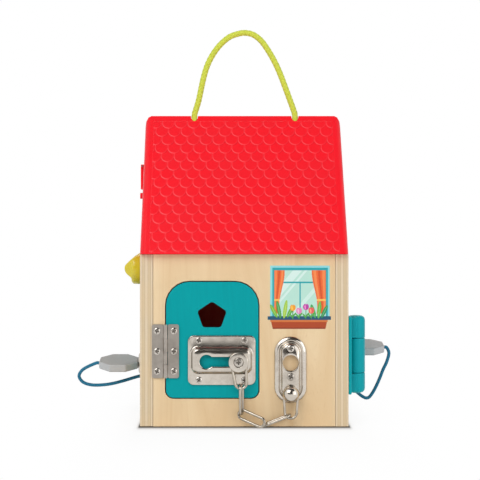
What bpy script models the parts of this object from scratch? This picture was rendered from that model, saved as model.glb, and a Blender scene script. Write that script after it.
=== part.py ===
"""Wooden activity house with three hinged doors, two key locks, a chain latch and a rope-handled roof.

Metres, +Z up. The house stands on Z = 0, its footprint is centred on the origin and its front faces -Y.
"""

import math
from typing import NamedTuple

import bmesh
import bpy
from mathutils import Matrix, Vector

# Clearances shared by every seat, and the overrun that all cuts share
GAP = 0.0003
OVERRUN = 0.002
WELD = 0.00001
ROUND_SIDES = 24
SMALL_SIDES = 12
ARC_STEPS = 6

# House box
BODY_WIDTH = 0.194
BODY_DEPTH = 0.165
WALL_HEIGHT = 0.160
PLY = 0.012
FLOOR_THICKNESS = 0.009

# Roof shell
EAVE_OVERHANG = 0.006
ROOF_RISE = 0.136
ROOF_WALL = 0.006
GABLE_WALL = 0.004
ROOF_EDGE_ROUND = 0.006

# Rope handle
ROPE_RADIUS = 0.003
ROPE_SPREAD = 0.100
ROPE_HOLE_RADIUS = 0.0036
ROPE_POINT_SPACING = 0.008
KNOT_RADIUS = 0.0055
ROPE_SHIFT = 0.0018
ROPE_ROUTE = (
    (-0.0482, 0.000, 0.2860), (-0.0482, 0.000, 0.2970), (-0.0466, 0.000, 0.3030), (-0.0441, 0.000, 0.3115),
    (-0.0412, 0.000, 0.3250), (-0.0391, 0.000, 0.3345), (-0.0359, 0.000, 0.3453), (-0.0307, 0.000, 0.3562),
    (-0.0231, 0.000, 0.3667), (-0.0135, 0.000, 0.3749), (-0.0039, 0.000, 0.3784), (0.0027, 0.000, 0.3791),
    (0.0103, 0.000, 0.3773), (0.0180, 0.000, 0.3715), (0.0247, 0.000, 0.3624), (0.0313, 0.000, 0.3510),
    (0.0370, 0.000, 0.3386), (0.0428, 0.000, 0.3233), (0.0473, 0.000, 0.3110), (0.0502, 0.000, 0.3030),
    (0.0518, 0.000, 0.2970), (0.0518, 0.000, 0.2860),
)

# Front door
DOOR_THICKNESS = 0.006
DOOR_GAP = 0.0010
FRONT_HINGE_INSET = 0.0238
FRONT_HINGE_X = FRONT_HINGE_INSET - BODY_WIDTH / 2
FRONT_DOOR_WIDTH = 0.0864
FRONT_DOOR_FREE_X = FRONT_HINGE_X + FRONT_DOOR_WIDTH
FRONT_DOOR_BOTTOM = 0.0266
FRONT_DOOR_TOP = 0.1344
FRONT_DOOR_TOP_ROUND = 0.022
FRONT_DOOR_LOW_ROUND = 0.007
PENTAGON_X = FRONT_HINGE_X + FRONT_DOOR_WIDTH / 2
PENTAGON_Z = 0.1029
PENTAGON_RADIUS = 0.0133
PENTAGON_ROUND = 0.002
PENTAGON_WIDTH_SHARE = 1.08
STOP_WIDTH = 0.006
STOP_BOTTOM = 0.050
STOP_TOP = 0.105

# Steel butt hinges
BUTT_BARREL_RADIUS = 0.00185
BUTT_PIN_RADIUS = 0.0009
BUTT_BOTTOM = 0.045
BUTT_TOP = 0.095
BUTT_SPLITS = (0.0578, 0.0693, 0.0816)
BUTT_LEAF_REACH = 0.0125
BUTT_LEAF = 0.0012
BUTT_LEAF_ROUND = 0.002
BUTT_SCREW_REACH = 0.0078
BUTT_SCREW_HEIGHTS = (0.0513, 0.0698, 0.0887)

# Screws
SCREW_HEAD_RADIUS = 0.0031
SCREW_HEAD_HEIGHT = 0.0011
SCREW_SHANK_RADIUS = 0.0012
SCREW_LENGTH = 0.0045

# Slotted track plate on the front door, and the knob that slides in it
TRACK_HINGE_MARGIN = 0.0208
TRACK_FREE_MARGIN = 0.0027
TRACK_LEFT = FRONT_HINGE_X + TRACK_HINGE_MARGIN
TRACK_RIGHT = FRONT_DOOR_FREE_X - TRACK_FREE_MARGIN
TRACK_BOTTOM = 0.0386
TRACK_TOP = 0.0846
TRACK_ROUND = 0.0056
TRACK_SHEET = 0.0012
BOSS_LEFT_INSET = 0.0024
BOSS_RIGHT_INSET = 0.0026
BOSS_LEFT = TRACK_LEFT + BOSS_LEFT_INSET
BOSS_RIGHT = TRACK_RIGHT - BOSS_RIGHT_INSET
BOSS_BOTTOM = 0.0486
BOSS_TOP = 0.0749
BOSS_HEIGHT = 0.0048
BOSS_SLOPE = 0.0038
BOSS_ROUND = 0.006
SLOT_Z = 0.0605
SLOT_WIDTH = 0.0087
KEYHOLE_INSET = 0.0150
KEYHOLE_X = BOSS_LEFT + KEYHOLE_INSET
KEYHOLE_RADIUS = 0.0063
TRACK_SCREW_INSET_X = 0.0102
TRACK_SCREW_INSET_Z = 0.0046
KNOB_INSET = 0.0133
KNOB_X = BOSS_RIGHT - KNOB_INSET
KNOB_NECK_RADIUS = 0.0039
KNOB_FOOT_RADIUS = 0.0058
KNOB_FOOT = 0.0012
KNOB_DISC_RADIUS = 0.0092
KNOB_DISC = 0.0030
KNOB_RECESS_RADIUS = 0.0043
KNOB_RECESS = 0.0008

# Chain
LINK_WIRE_RADIUS = 0.0012
LINK_LENGTH = 0.0262
LINK_BEND = 0.0041
LINK_PLAY = 0.0027
LINK_END_STEPS = 9
SHACKLE_BEND = 0.0065
SHACKLE_LOW_BEND = 0.0055
SHACKLE_DROP = (0.00215, -0.0190)
LINK_2_ACROSS = Vector((0.309, 0.951, 0.000)).normalized()
LINK_3_DIRECTION = Vector((0.880, -0.330, -0.343)).normalized()
LINK_4_DIRECTION = Vector((-0.927, 0.000, -0.374)).normalized()

# Anchor plate and ball stud on the front panel
ANCHOR_STANDOFF = 0.0298
ANCHOR_X = FRONT_DOOR_FREE_X + ANCHOR_STANDOFF
ANCHOR_BOTTOM = 0.0218
ANCHOR_TOP = 0.0836
ANCHOR_WIDTH = 0.0298
ANCHOR_SHEET = 0.0012
ANCHOR_STRIP_WIDTH = 0.0174
ANCHOR_STRIP_HEIGHT = 0.0050
ANCHOR_HOLE_RADIUS = 0.00735
ANCHOR_HOLE_Z = 0.0594
ANCHOR_SCREW_HEIGHTS = (0.0467, 0.0729)
BALL_Z = 0.0310
BALL_RADIUS = 0.0074
BALL_HEIGHT = 0.0062
BALL_NECK_RADIUS = 0.0040
U_LINK_BEND = 0.0063
U_LINK_LOW_BEND = 0.0056
U_LINK_DROP = 0.0168
LAST_LINK_OFFSET = (-0.00055, -0.0023)

# Side doors
SIDE_DOOR_BOTTOM = 0.0256
SIDE_DOOR_ROUND = 0.006
LEFT_HINGE_INSET = 0.0325
LEFT_HINGE_Y = BODY_DEPTH / 2 - LEFT_HINGE_INSET
LEFT_DOOR_WIDTH = 0.074
LEFT_DOOR_TOP = 0.1260
LEFT_LOCK_REACH = 0.0525
LEFT_LOCK_Z = 0.0505
RIGHT_HINGE_INSET = 0.0200
RIGHT_HINGE_Y = RIGHT_HINGE_INSET - BODY_DEPTH / 2
RIGHT_DOOR_WIDTH = 0.1025
RIGHT_DOOR_TOP = 0.1352
RIGHT_DOOR_FREE_GAP = 0.0016
RIGHT_LOCK_REACH = 0.0800
RIGHT_LOCK_Z = 0.0644

# Moulded three-knuckle hinge on the right door
MOULDED_BARREL_RADIUS = 0.0086
MOULDED_PIN_RADIUS = 0.0020
MOULDED_BOTTOM = 0.029
MOULDED_TOP = 0.102
MOULDED_SPLITS = (0.048, 0.081)
MOULDED_LEAF_REACH = 0.0185
MOULDED_LEAF = 0.003
MOULDED_LEAF_ROUND = 0.003

# Locks and keys
ROSE_RADIUS = 0.01065
ROSE_HEIGHT = 0.0065
CYLINDER_RADIUS = 0.0058
CAM_CLEARANCE = 0.0008
CAM_THICKNESS = 0.002
CAM_WIDTH = 0.009
CAM_LENGTH = 0.027
BOW_SIDES = 8
BOW_WIDTH = 0.0385
BOW_THICKNESS = 0.0077
BOW_ROUND = 0.0012
LEFT_BOW_TILT_DEGREES = 10.5
RIGHT_BOW_TILT_DEGREES = -9
BLADE_WIDTH = 0.007
BLADE_THICKNESS = 0.0022
BLADE_LENGTH = 0.012

# Key cords: sideways from the key's axis, out from the wall and up from the floor
CORD_RADIUS = 0.0017
CORD_POINT_SPACING = 0.004
GROMMET_RADIUS = 0.0040
GROMMET_HEIGHT = 0.0020
LEFT_CORD_ROUTE = (
    (0.0000, 0.0460, 0.0505), (0.0000, 0.0492, 0.0503), (-0.0030, 0.0600, 0.0452), (-0.0060, 0.0652, 0.0406),
    (-0.0085, 0.0668, 0.0356), (-0.0100, 0.0632, 0.0303), (-0.0105, 0.0560, 0.0276), (-0.0105, 0.0468, 0.0272),
    (-0.0105, 0.0355, 0.0284), (-0.0105, 0.0241, 0.0311), (-0.0105, 0.0164, 0.0334), (-0.0105, 0.0070, 0.0361),
    (-0.0105, 0.0023, 0.0364),
)
RIGHT_CORD_ROUTE = (
    (0.0000, 0.0460, 0.0644), (0.0000, 0.0486, 0.0639), (-0.0025, 0.0505, 0.0585), (-0.0050, 0.0480, 0.0501),
    (-0.0070, 0.0440, 0.0423), (-0.0070, 0.0410, 0.0346), (-0.0070, 0.0380, 0.0277), (-0.0070, 0.0344, 0.0207),
    (-0.0070, 0.0306, 0.0153), (-0.0070, 0.0275, 0.0139), (-0.0070, 0.0236, 0.0153), (-0.0070, 0.0180, 0.0196),
    (-0.0070, 0.0110, 0.0262), (-0.0070, 0.0062, 0.0295), (-0.0070, 0.0027, 0.0302),
)

# Turn latch above the left door
LATCH_Z = 0.1446
LATCH_RADIUS = 0.0156
LATCH_THICKNESS = 0.0134
LATCH_ROUND = 0.003
GRIP_HEIGHT = 0.0068
GRIP_LENGTH = 0.0250
GRIP_WIDTH = 0.0160
GRIP_ROUND = 0.005
TONGUE_LENGTH = 0.0240
TONGUE_WIDTH = 0.0110
TONGUE_THICKNESS = 0.0040

# Gable hatch
HATCH_BOTTOM = 0.2230
HATCH_TOP = 0.2445
HATCH_WIDTH = 0.022
HATCH_THICKNESS = 0.0037
HATCH_BARREL_RADIUS = 0.0015
HATCH_PIN_RADIUS = 0.0007
HATCH_EAR_WIDTH = 0.003
HATCH_HOLE_MARGIN = 0.0035
CATCH_DROP = 0.0063
CATCH_RADIUS = 0.003
CATCH_HEIGHT = 0.0052
CATCH_SINK = 0.002

COLOUR_MAX = 255


class Finish(NamedTuple):
    """Surface of a piece: 8-bit sRGB colour, roughness and metallic value."""

    colour: tuple
    roughness: float
    metallic: float = 0.0


PLYWOOD = Finish((233, 201, 160), 0.62)
RED = Finish((248, 38, 51), 0.42)
TEAL = Finish((0, 163, 168), 0.45)
TEAL_PLASTIC = Finish((0, 170, 180), 0.35)
LIME = Finish((215, 195, 40), 0.32)
ROPE = Finish((205, 215, 60), 0.85)
BLUE_CORD = Finish((22, 100, 130), 0.80)
KEY_GREY = Finish((165, 165, 165), 0.40, 0.3)
STEEL = Finish((165, 158, 150), 0.32, 1.0)
NICKEL = Finish((175, 168, 158), 0.22, 1.0)

FACING_FRONT = (math.radians(90), 0, 0)
ALONG_X = (math.radians(90), 0, math.radians(90))
SPUN_ALONG_Y = (math.radians(90), 0, 0)


def empty_scene():
    """Remove every object and return the collections for the parts and for their cutters."""
    for obj in list(bpy.data.objects):
        bpy.data.objects.remove(obj, do_unlink=True)
    parts = bpy.data.collections.new("activity_house")
    cutters = bpy.data.collections.new("cutters")
    for collection in (parts, cutters):
        bpy.context.scene.collection.children.link(collection)
    return parts, cutters


PARTS, CUTTERS = empty_scene()


def linear(channel):
    """Convert one 8-bit sRGB channel to a linear value."""
    value = channel / COLOUR_MAX
    return value / 12.92 if value <= 0.04045 else ((value + 0.055) / 1.055) ** 2.4


def paint(name, finish):
    """Return a new Principled material for one piece."""
    material = bpy.data.materials.new(name)
    material.use_nodes = True
    shader = material.node_tree.nodes["Principled BSDF"]
    shader.inputs["Base Color"].default_value = (*(linear(channel) for channel in finish.colour), 1)
    shader.inputs["Roughness"].default_value = finish.roughness
    shader.inputs["Metallic"].default_value = finish.metallic
    return material


def into(collection, obj):
    """Move an object to one collection only."""
    for other in list(obj.users_collection):
        other.objects.unlink(obj)
    collection.objects.link(obj)


def piece(obj, name, finish, parent=None):
    """Name an object as a piece of the house, paint it and hang it on its parent empty."""
    obj.name = name
    obj.data.name = name
    obj.data.materials.clear()
    obj.data.materials.append(paint(name, finish))
    into(PARTS, obj)
    obj.parent = parent
    for modifier in obj.modifiers:
        if modifier.type == "BOOLEAN":
            modifier.object.parent = parent
    obj.data.shade_smooth()
    obj.data.set_sharp_from_angle(angle=math.radians(35))
    return obj


def empty(name, location, turn_degrees=0, parent=None):
    """Add an empty that carries pieces, upright and turned about Z."""
    carrier = bpy.data.objects.new(name, None)
    carrier.empty_display_size = PLY
    PARTS.objects.link(carrier)
    carrier.location = location
    carrier.rotation_euler = (0, 0, math.radians(turn_degrees))
    carrier.parent = parent
    return carrier


def box(low, high, rounding=0.0, steps=2):
    """Add a box between two opposite corners, with rounded edges where asked."""
    low = Vector(low)
    high = Vector(high)
    bpy.ops.mesh.primitive_cube_add(size=1, location=(low + high) / 2)
    obj = bpy.context.object
    obj.data.transform(Matrix.Diagonal((*(high - low), 1)))
    if rounding:
        bevel = obj.modifiers.new("rounding", "BEVEL")
        bevel.width = rounding
        bevel.segments = steps
    return obj


def cylinder(centre, radius, depth, rotation=(0, 0, 0), sides=ROUND_SIDES, rounding=0.0):
    """Add a cylinder about its own Z axis, turned by a rotation, with rounded rims where asked."""
    bpy.ops.mesh.primitive_cylinder_add(
        vertices=sides, radius=radius, depth=depth, location=centre, rotation=rotation)
    obj = bpy.context.object
    if rounding:
        bevel = obj.modifiers.new("rounding", "BEVEL")
        bevel.width = rounding
        bevel.segments = 3
        bevel.angle_limit = math.radians(50)
    return obj


def turned(profile, location, rotation, sides=ROUND_SIDES):
    """Spin a profile of (radius, height) pairs, listed from top to bottom, about its axis."""
    mesh = bpy.data.meshes.new("profile")
    mesh.from_pydata([(radius, 0, height) for radius, height in profile],
                     [(step, step + 1) for step in range(len(profile) - 1)], [])
    obj = bpy.data.objects.new("profile", mesh)
    PARTS.objects.link(obj)
    obj.location = location
    obj.rotation_euler = rotation
    screw = obj.modifiers.new("turning", "SCREW")
    screw.steps = sides
    screw.render_steps = sides
    screw.use_merge_vertices = True
    screw.merge_threshold = WELD
    return obj


def solid_from_curve(curve_object):
    """Turn a filled or bevelled curve into one closed mesh in the same place."""
    bpy.context.view_layer.update()
    evaluated = curve_object.evaluated_get(bpy.context.evaluated_depsgraph_get())
    mesh = bpy.data.meshes.new_from_object(evaluated)
    shape = bmesh.new()
    shape.from_mesh(mesh)
    bmesh.ops.remove_doubles(shape, verts=shape.verts, dist=WELD)
    bmesh.ops.recalc_face_normals(shape, faces=shape.faces)
    shape.to_mesh(mesh)
    shape.free()
    solid = bpy.data.objects.new(curve_object.name, mesh)
    PARTS.objects.link(solid)
    solid.matrix_world = curve_object.matrix_world
    bpy.data.objects.remove(curve_object, do_unlink=True)
    return solid


def plate(outline, thickness, centre_depth, rotation=FACING_FRONT):
    """Extrude a flat outline of (across, up) points to a plate centred at a depth."""
    curve = bpy.data.curves.new("plate", "CURVE")
    curve.dimensions = "2D"
    curve.fill_mode = "BOTH"
    curve.extrude = thickness / 2
    spline = curve.splines.new("POLY")
    spline.points.add(len(outline) - 1)
    for point, (across, up) in zip(spline.points, outline):
        point.co = (across, up, 0, 1)
    spline.use_cyclic_u = True
    obj = bpy.data.objects.new("plate", curve)
    PARTS.objects.link(obj)
    obj.rotation_euler = rotation
    obj.location = (0, centre_depth, 0)
    return solid_from_curve(obj)


def wire(points, radius, cyclic=False):
    """Run a round wire along a list of points."""
    curve = bpy.data.curves.new("wire", "CURVE")
    curve.dimensions = "3D"
    curve.bevel_depth = radius
    curve.bevel_resolution = 2
    curve.use_fill_caps = not cyclic
    spline = curve.splines.new("POLY")
    spline.points.add(len(points) - 1)
    for point, place in zip(spline.points, points):
        point.co = (*place, 1)
    spline.use_cyclic_u = cyclic
    obj = bpy.data.objects.new("wire", curve)
    PARTS.objects.link(obj)
    return solid_from_curve(obj)


def combine(target, other, operation):
    """Apply another object to a target with an exact Boolean, and keep that object as a guide."""
    other.parent = target.parent
    other.hide_render = True
    other.display_type = "WIRE"
    into(CUTTERS, other)
    boolean = target.modifiers.new(operation.lower(), "BOOLEAN")
    boolean.operation = operation
    boolean.solver = "EXACT"
    boolean.object = other
    return target


def cut(target, cutter):
    """Take a cutter's volume out of a target."""
    return combine(target, cutter, "DIFFERENCE")


def join(target, other):
    """Fuse another shape into a target."""
    return combine(target, other, "UNION")


def arc(centre, radius, start, end, steps=ARC_STEPS):
    """Points of a flat arc between two angles in degrees."""
    angles = (math.radians(start + (end - start) * step / steps) for step in range(steps + 1))
    return [(centre[0] + radius * math.cos(angle), centre[1] + radius * math.sin(angle)) for angle in angles]


def rounded_outline(left, bottom, right, top, low_round, top_round):
    """Outline of an upright rectangle with its own radius for the lower and the upper corners."""
    return [
        *arc((left + low_round, bottom + low_round), low_round, 180, 270),
        *arc((right - low_round, bottom + low_round), low_round, 270, 360),
        *arc((right - top_round, top - top_round), top_round, 0, 90),
        *arc((left + top_round, top - top_round), top_round, 90, 180),
    ]


def smooth_route(route, spacing):
    """Read evenly spaced points from a smooth curve through the chosen points of a route."""
    points = [Vector(point) for point in route]
    padded = [2 * points[0] - points[1], *points, 2 * points[-1] - points[-2]]
    dense = []
    fine_steps = 12
    for before, start, end, after in zip(padded, padded[1:], padded[2:], padded[3:]):
        for step in range(fine_steps):
            t = step / fine_steps
            slope = end - before
            bend = 2 * before - 5 * start + 4 * end - after
            twist = 3 * start - before - 3 * end + after
            dense.append((2 * start + slope * t + bend * t ** 2 + twist * t ** 3) / 2)
    dense.append(points[-1])
    travelled = [0.0]
    for start, end in zip(dense, dense[1:]):
        travelled.append(travelled[-1] + (end - start).length)
    count = max(2, round(travelled[-1] / spacing))
    result = []
    index = 0
    for step in range(count + 1):
        target = travelled[-1] * step / count
        while index < len(dense) - 2 and travelled[index + 1] < target:
            index += 1
        share = (target - travelled[index]) / (travelled[index + 1] - travelled[index])
        result.append(dense[index].lerp(dense[index + 1], share))
    return result


def bored_screw(name, place, finish, hosts, parent=None, rotation=SPUN_ALONG_Y):
    """Add a domed screw whose head seats at a place, and clear its shank out of the pieces it holds."""
    dome = SCREW_HEAD_HEIGHT / 2
    profile = [
        (0, SCREW_HEAD_HEIGHT),
        (SCREW_HEAD_RADIUS - dome, SCREW_HEAD_HEIGHT),
        (SCREW_HEAD_RADIUS, dome),
        (SCREW_HEAD_RADIUS, 0),
        (SCREW_SHANK_RADIUS, 0),
        (SCREW_SHANK_RADIUS, -SCREW_LENGTH),
        (0, -SCREW_LENGTH - SCREW_SHANK_RADIUS),
    ]
    screw = turned(profile, place, rotation, SMALL_SIDES)
    piece(screw, name, finish, parent)
    bore_depth = SCREW_LENGTH + SCREW_SHANK_RADIUS + OVERRUN
    for host in hosts:
        inward = Vector((0, 0, -(bore_depth - OVERRUN) / 2))
        turn = Matrix.Rotation(rotation[2], 3, "Z") @ Matrix.Rotation(rotation[0], 3, "X")
        bore = cylinder(Vector(place) + turn @ inward, SCREW_SHANK_RADIUS + GAP, bore_depth, rotation,
                        SMALL_SIDES)
        cut(host, bore)
        bore.parent = parent


def loop_wire(first, first_bend, second, second_bend, across, name, parent=None):
    """Bend one closed link of wire round two centres, with straight runs between the two bends."""
    along = (second - first).normalized()
    contact = math.degrees(math.acos((first_bend - second_bend) / (second - first).length))
    points = []
    for centre, bend, start, end in ((first, first_bend, contact, 360 - contact),
                                     (second, second_bend, -contact, contact)):
        for along_share, across_share in arc((0, 0), 1, start, end, LINK_END_STEPS):
            points.append(centre + along * (bend * along_share) + across * (bend * across_share))
    return piece(wire(points, LINK_WIRE_RADIUS, True), name, STEEL, parent)


def butt_leaf(side, spans, name, parent):
    """Make one leaf of a butt hinge about the origin's Z axis, with the knuckles that it carries."""
    face = BUTT_BARREL_RADIUS
    start = BUTT_BARREL_RADIUS + GAP
    left, right = sorted((side * start, side * BUTT_LEAF_REACH))
    outline = rounded_outline(left, BUTT_BOTTOM, right, BUTT_TOP, BUTT_LEAF_ROUND, BUTT_LEAF_ROUND)
    leaf = plate(outline, BUTT_LEAF, face - BUTT_LEAF / 2)
    hinge_leaf(leaf, side, spans, start, (face - BUTT_LEAF, face), BUTT_BARREL_RADIUS, BUTT_PIN_RADIUS)
    return piece(leaf, name, STEEL, parent)


def hinge_leaf(leaf, side, spans, start, depths, barrel_radius, pin_radius):
    """Join knuckles and their webs to a leaf and bore them for the pin."""
    for bottom, top in spans:
        middle = (bottom + top) / 2
        join(leaf, cylinder((0, 0, middle), barrel_radius, top - bottom))
        near, far = sorted((0, side * (start + 2 * GAP)))
        join(leaf, box((near, depths[0] + GAP, bottom + GAP), (far, depths[1] - GAP, top - GAP)))
        bore = cylinder((0, 0, middle), pin_radius + GAP, top - bottom + OVERRUN, sides=SMALL_SIDES)
        cut(leaf, bore)


def knuckle_spans(bottom, splits, top):
    """Return the heights of each knuckle, a clearance apart."""
    edges = (bottom, *splits, top)
    return [(low + GAP / 2, high - GAP / 2) for low, high in zip(edges, edges[1:])]


def butt_hinge(prefix, fixed, swing):
    """Add a steel butt hinge with its pin, and return its fixed leaf and its door leaf."""
    spans = knuckle_spans(BUTT_BOTTOM, BUTT_SPLITS, BUTT_TOP)
    fixed_leaf = butt_leaf(-1, spans[1::2], f"{prefix}_hinge_fixed", fixed)
    door_leaf = butt_leaf(1, spans[::2], f"{prefix}_hinge_door", swing)
    middle = (BUTT_BOTTOM + BUTT_TOP) / 2
    pin = cylinder((0, 0, middle), BUTT_PIN_RADIUS, BUTT_TOP - BUTT_BOTTOM, sides=SMALL_SIDES)
    piece(pin, f"{prefix}_hinge_pin", STEEL, fixed)
    return fixed_leaf, door_leaf


def moulded_hinge(prefix, fixed, swing):
    """Add the three-knuckle plastic hinge with its pin."""
    spans = knuckle_spans(MOULDED_BOTTOM, MOULDED_SPLITS, MOULDED_TOP)
    face = MOULDED_BARREL_RADIUS
    start = MOULDED_BARREL_RADIUS + GAP
    for side, own_spans, name, parent in ((-1, spans[::2], "fixed", fixed), (1, spans[1::2], "door", swing)):
        left, right = sorted((side * start, side * MOULDED_LEAF_REACH))
        outline = rounded_outline(left, MOULDED_BOTTOM, right, MOULDED_TOP,
                                  MOULDED_LEAF_ROUND, MOULDED_LEAF_ROUND)
        leaf = plate(outline, MOULDED_LEAF, face - MOULDED_LEAF / 2)
        depths = (face - MOULDED_LEAF, face)
        hinge_leaf(leaf, side, own_spans, start, depths, MOULDED_BARREL_RADIUS, MOULDED_PIN_RADIUS)
        piece(leaf, f"{prefix}_hinge_{name}", TEAL_PLASTIC, parent)
    middle = (MOULDED_BOTTOM + MOULDED_TOP) / 2
    pin = cylinder((0, 0, middle), MOULDED_PIN_RADIUS, MOULDED_TOP - MOULDED_BOTTOM, sides=SMALL_SIDES)
    piece(pin, f"{prefix}_hinge_pin", STEEL, fixed)


def ply_panel(name, low, high):
    """Add one flat ply panel."""
    return piece(box(low, high), name, PLYWOOD)


def build_house():
    """Add the walls and the floor, and return the panels that take openings and screws."""
    half_width = BODY_WIDTH / 2
    half_depth = BODY_DEPTH / 2
    inner = half_width - PLY
    between = inner - GAP
    left = ply_panel("left_wall", (-half_width, -half_depth, 0), (-inner, half_depth, WALL_HEIGHT))
    right = ply_panel("right_wall", (inner, -half_depth, 0), (half_width, half_depth, WALL_HEIGHT))
    front = ply_panel("front_panel", (-between, -half_depth, 0), (between, PLY - half_depth, WALL_HEIGHT))
    ply_panel("back_panel", (-between, half_depth - PLY, 0), (between, half_depth, WALL_HEIGHT))
    back_of_front = half_depth - PLY - GAP
    ply_panel("floor_panel", (-between, -back_of_front, 0), (between, back_of_front, FLOOR_THICKNESS))
    return left, right, front


def roof_outline(inset):
    """Outline of the roof's cross-section, set in from the outer faces."""
    half_span = BODY_DEPTH / 2 + EAVE_OVERHANG
    slope = math.atan2(ROOF_RISE, half_span)
    foot = WALL_HEIGHT + GAP
    drop = OVERRUN if inset else 0
    half = half_span - inset / math.sin(slope) + drop / math.tan(slope)
    peak = foot + ROOF_RISE - inset / math.cos(slope)
    return [(-half, foot - drop), (half, foot - drop), (0, peak)]


def build_roof():
    """Add the hollow roof shell, its rope handle with two knots, and the gable hatch."""
    half_width = BODY_WIDTH / 2
    shell = plate(roof_outline(0), BODY_WIDTH, 0, ALONG_X)
    slopes = bmesh.new()
    slopes.from_mesh(shell.data)
    edges = [edge for edge in slopes.edges
             if abs(edge.verts[0].co.z - edge.verts[1].co.z) < WELD
             and abs(edge.verts[0].co.y - edge.verts[1].co.y) > PLY]
    bmesh.ops.bevel(slopes, geom=edges, offset=ROOF_EDGE_ROUND, segments=3, profile=0.5, affect="EDGES")
    slopes.to_mesh(shell.data)
    slopes.free()
    piece(shell, "roof_shell", RED)
    cut(shell, plate(roof_outline(ROOF_WALL), BODY_WIDTH - 2 * GABLE_WALL, 0, ALONG_X))
    inner_peak = max(up for across, up in roof_outline(ROOF_WALL))
    outer_peak = WALL_HEIGHT + GAP + ROOF_RISE
    knot_drop = (KNOT_RADIUS + GAP) / math.cos(math.atan2(ROOF_RISE, BODY_DEPTH / 2 + EAVE_OVERHANG))
    knot_z = inner_peak - knot_drop
    hole_bottom = inner_peak - ROPE_HOLE_RADIUS * ROOF_RISE / (BODY_DEPTH / 2 + EAVE_OVERHANG) - OVERRUN
    hole_top = outer_peak + OVERRUN
    for side, name in ((-1, "left"), (1, "right")):
        hole_height = hole_top - hole_bottom
        rope_x = ROPE_SHIFT + side * ROPE_SPREAD / 2
        centre = (rope_x, 0, (hole_top + hole_bottom) / 2)
        cut(shell, cylinder(centre, ROPE_HOLE_RADIUS, hole_height, sides=SMALL_SIDES))
        bpy.ops.mesh.primitive_uv_sphere_add(
            segments=SMALL_SIDES, ring_count=SMALL_SIDES // 2, radius=KNOT_RADIUS,
            location=(rope_x, 0, knot_z))
        piece(bpy.context.object, f"rope_knot_{name}", ROPE)
    knot_top = knot_z + KNOT_RADIUS + GAP
    ends = [(ROPE_SHIFT + side * ROPE_SPREAD / 2, 0, knot_top) for side in (-1, 1)]
    route = [ends[0], *ROPE_ROUTE, ends[1]]
    piece(wire(smooth_route(route, ROPE_POINT_SPACING), ROPE_RADIUS), "rope_handle", ROPE)
    build_hatch(shell, -half_width)


def build_hatch(shell, wall_x):
    """Add the small hatch on the left gable, its pin, the ears that hold it and the catch below it."""
    half = HATCH_WIDTH / 2
    hole_half = half - HATCH_HOLE_MARGIN
    cut(shell, box((wall_x - OVERRUN, -hole_half, HATCH_BOTTOM + HATCH_HOLE_MARGIN),
                   (wall_x + GABLE_WALL + OVERRUN, hole_half, HATCH_TOP - HATCH_HOLE_MARGIN)))
    face = wall_x - GAP
    axis_x = face - HATCH_THICKNESS / 2
    axis_z = HATCH_TOP + HATCH_BARREL_RADIUS - GAP
    axis = empty("hatch_axis", (axis_x, 0, axis_z))
    hatch = box((-HATCH_THICKNESS / 2, -half, HATCH_BOTTOM - axis_z),
                (HATCH_THICKNESS / 2, half, HATCH_TOP - axis_z))
    join(hatch, cylinder((0, 0, 0), HATCH_BARREL_RADIUS, HATCH_WIDTH - 2 * GAP, SPUN_ALONG_Y, SMALL_SIDES))
    cut(hatch, cylinder((0, 0, 0), HATCH_PIN_RADIUS + GAP, HATCH_WIDTH + OVERRUN, SPUN_ALONG_Y, SMALL_SIDES))
    piece(hatch, "gable_hatch", RED, axis)
    ear_depth = HATCH_THICKNESS / 2 + GAP + GABLE_WALL / 2
    for side in (-1, 1):
        near, far = sorted((side * (half + GAP), side * (half + GAP + HATCH_EAR_WIDTH)))
        join(shell, box((axis_x - HATCH_BARREL_RADIUS, near, axis_z - HATCH_BARREL_RADIUS),
                        (axis_x + ear_depth, far, axis_z + HATCH_BARREL_RADIUS)))
    pin_length = HATCH_WIDTH + 2 * (GAP + HATCH_EAR_WIDTH)
    bore = cylinder((axis_x, 0, axis_z), HATCH_PIN_RADIUS + GAP, pin_length + OVERRUN, SPUN_ALONG_Y,
                    SMALL_SIDES)
    cut(shell, bore)
    pin = cylinder((axis_x, 0, axis_z), HATCH_PIN_RADIUS, pin_length, SPUN_ALONG_Y, SMALL_SIDES)
    piece(pin, "hatch_pin", STEEL)
    catch_centre = (wall_x + (CATCH_SINK - CATCH_HEIGHT) / 2, 0, HATCH_BOTTOM - CATCH_DROP)
    catch = cylinder(catch_centre, CATCH_RADIUS, CATCH_HEIGHT + CATCH_SINK, (0, math.radians(90), 0),
                     SMALL_SIDES)
    join(shell, catch)


def keep_place(obj, parent):
    """Hang an object that is already in its world place on a parent empty."""
    bpy.context.view_layer.update()
    obj.parent = parent
    obj.matrix_parent_inverse = parent.matrix_world.inverted()


def door_leaf(name, width, bottom, top, low_round, top_round, face, parent):
    """Add a flush door whose hinge edge lies beside its swing axis."""
    outline = rounded_outline(DOOR_GAP / 2, bottom, width, top, low_round, top_round)
    leaf = plate(outline, DOOR_THICKNESS, face + DOOR_THICKNESS / 2)
    return piece(leaf, name, TEAL, parent)


def door_opening(wall, station, width, bottom, top, low_round, top_round, free_gap, face):
    """Cut a door's opening through its wall, a gap wider than the door all round."""
    outline = rounded_outline(-DOOR_GAP / 2, bottom - DOOR_GAP, width + free_gap, top + DOOR_GAP,
                              low_round + DOOR_GAP, top_round + DOOR_GAP)
    opening = plate(outline, PLY + 2 * OVERRUN, face + PLY / 2)
    cut(wall, opening)
    opening.parent = station


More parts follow.
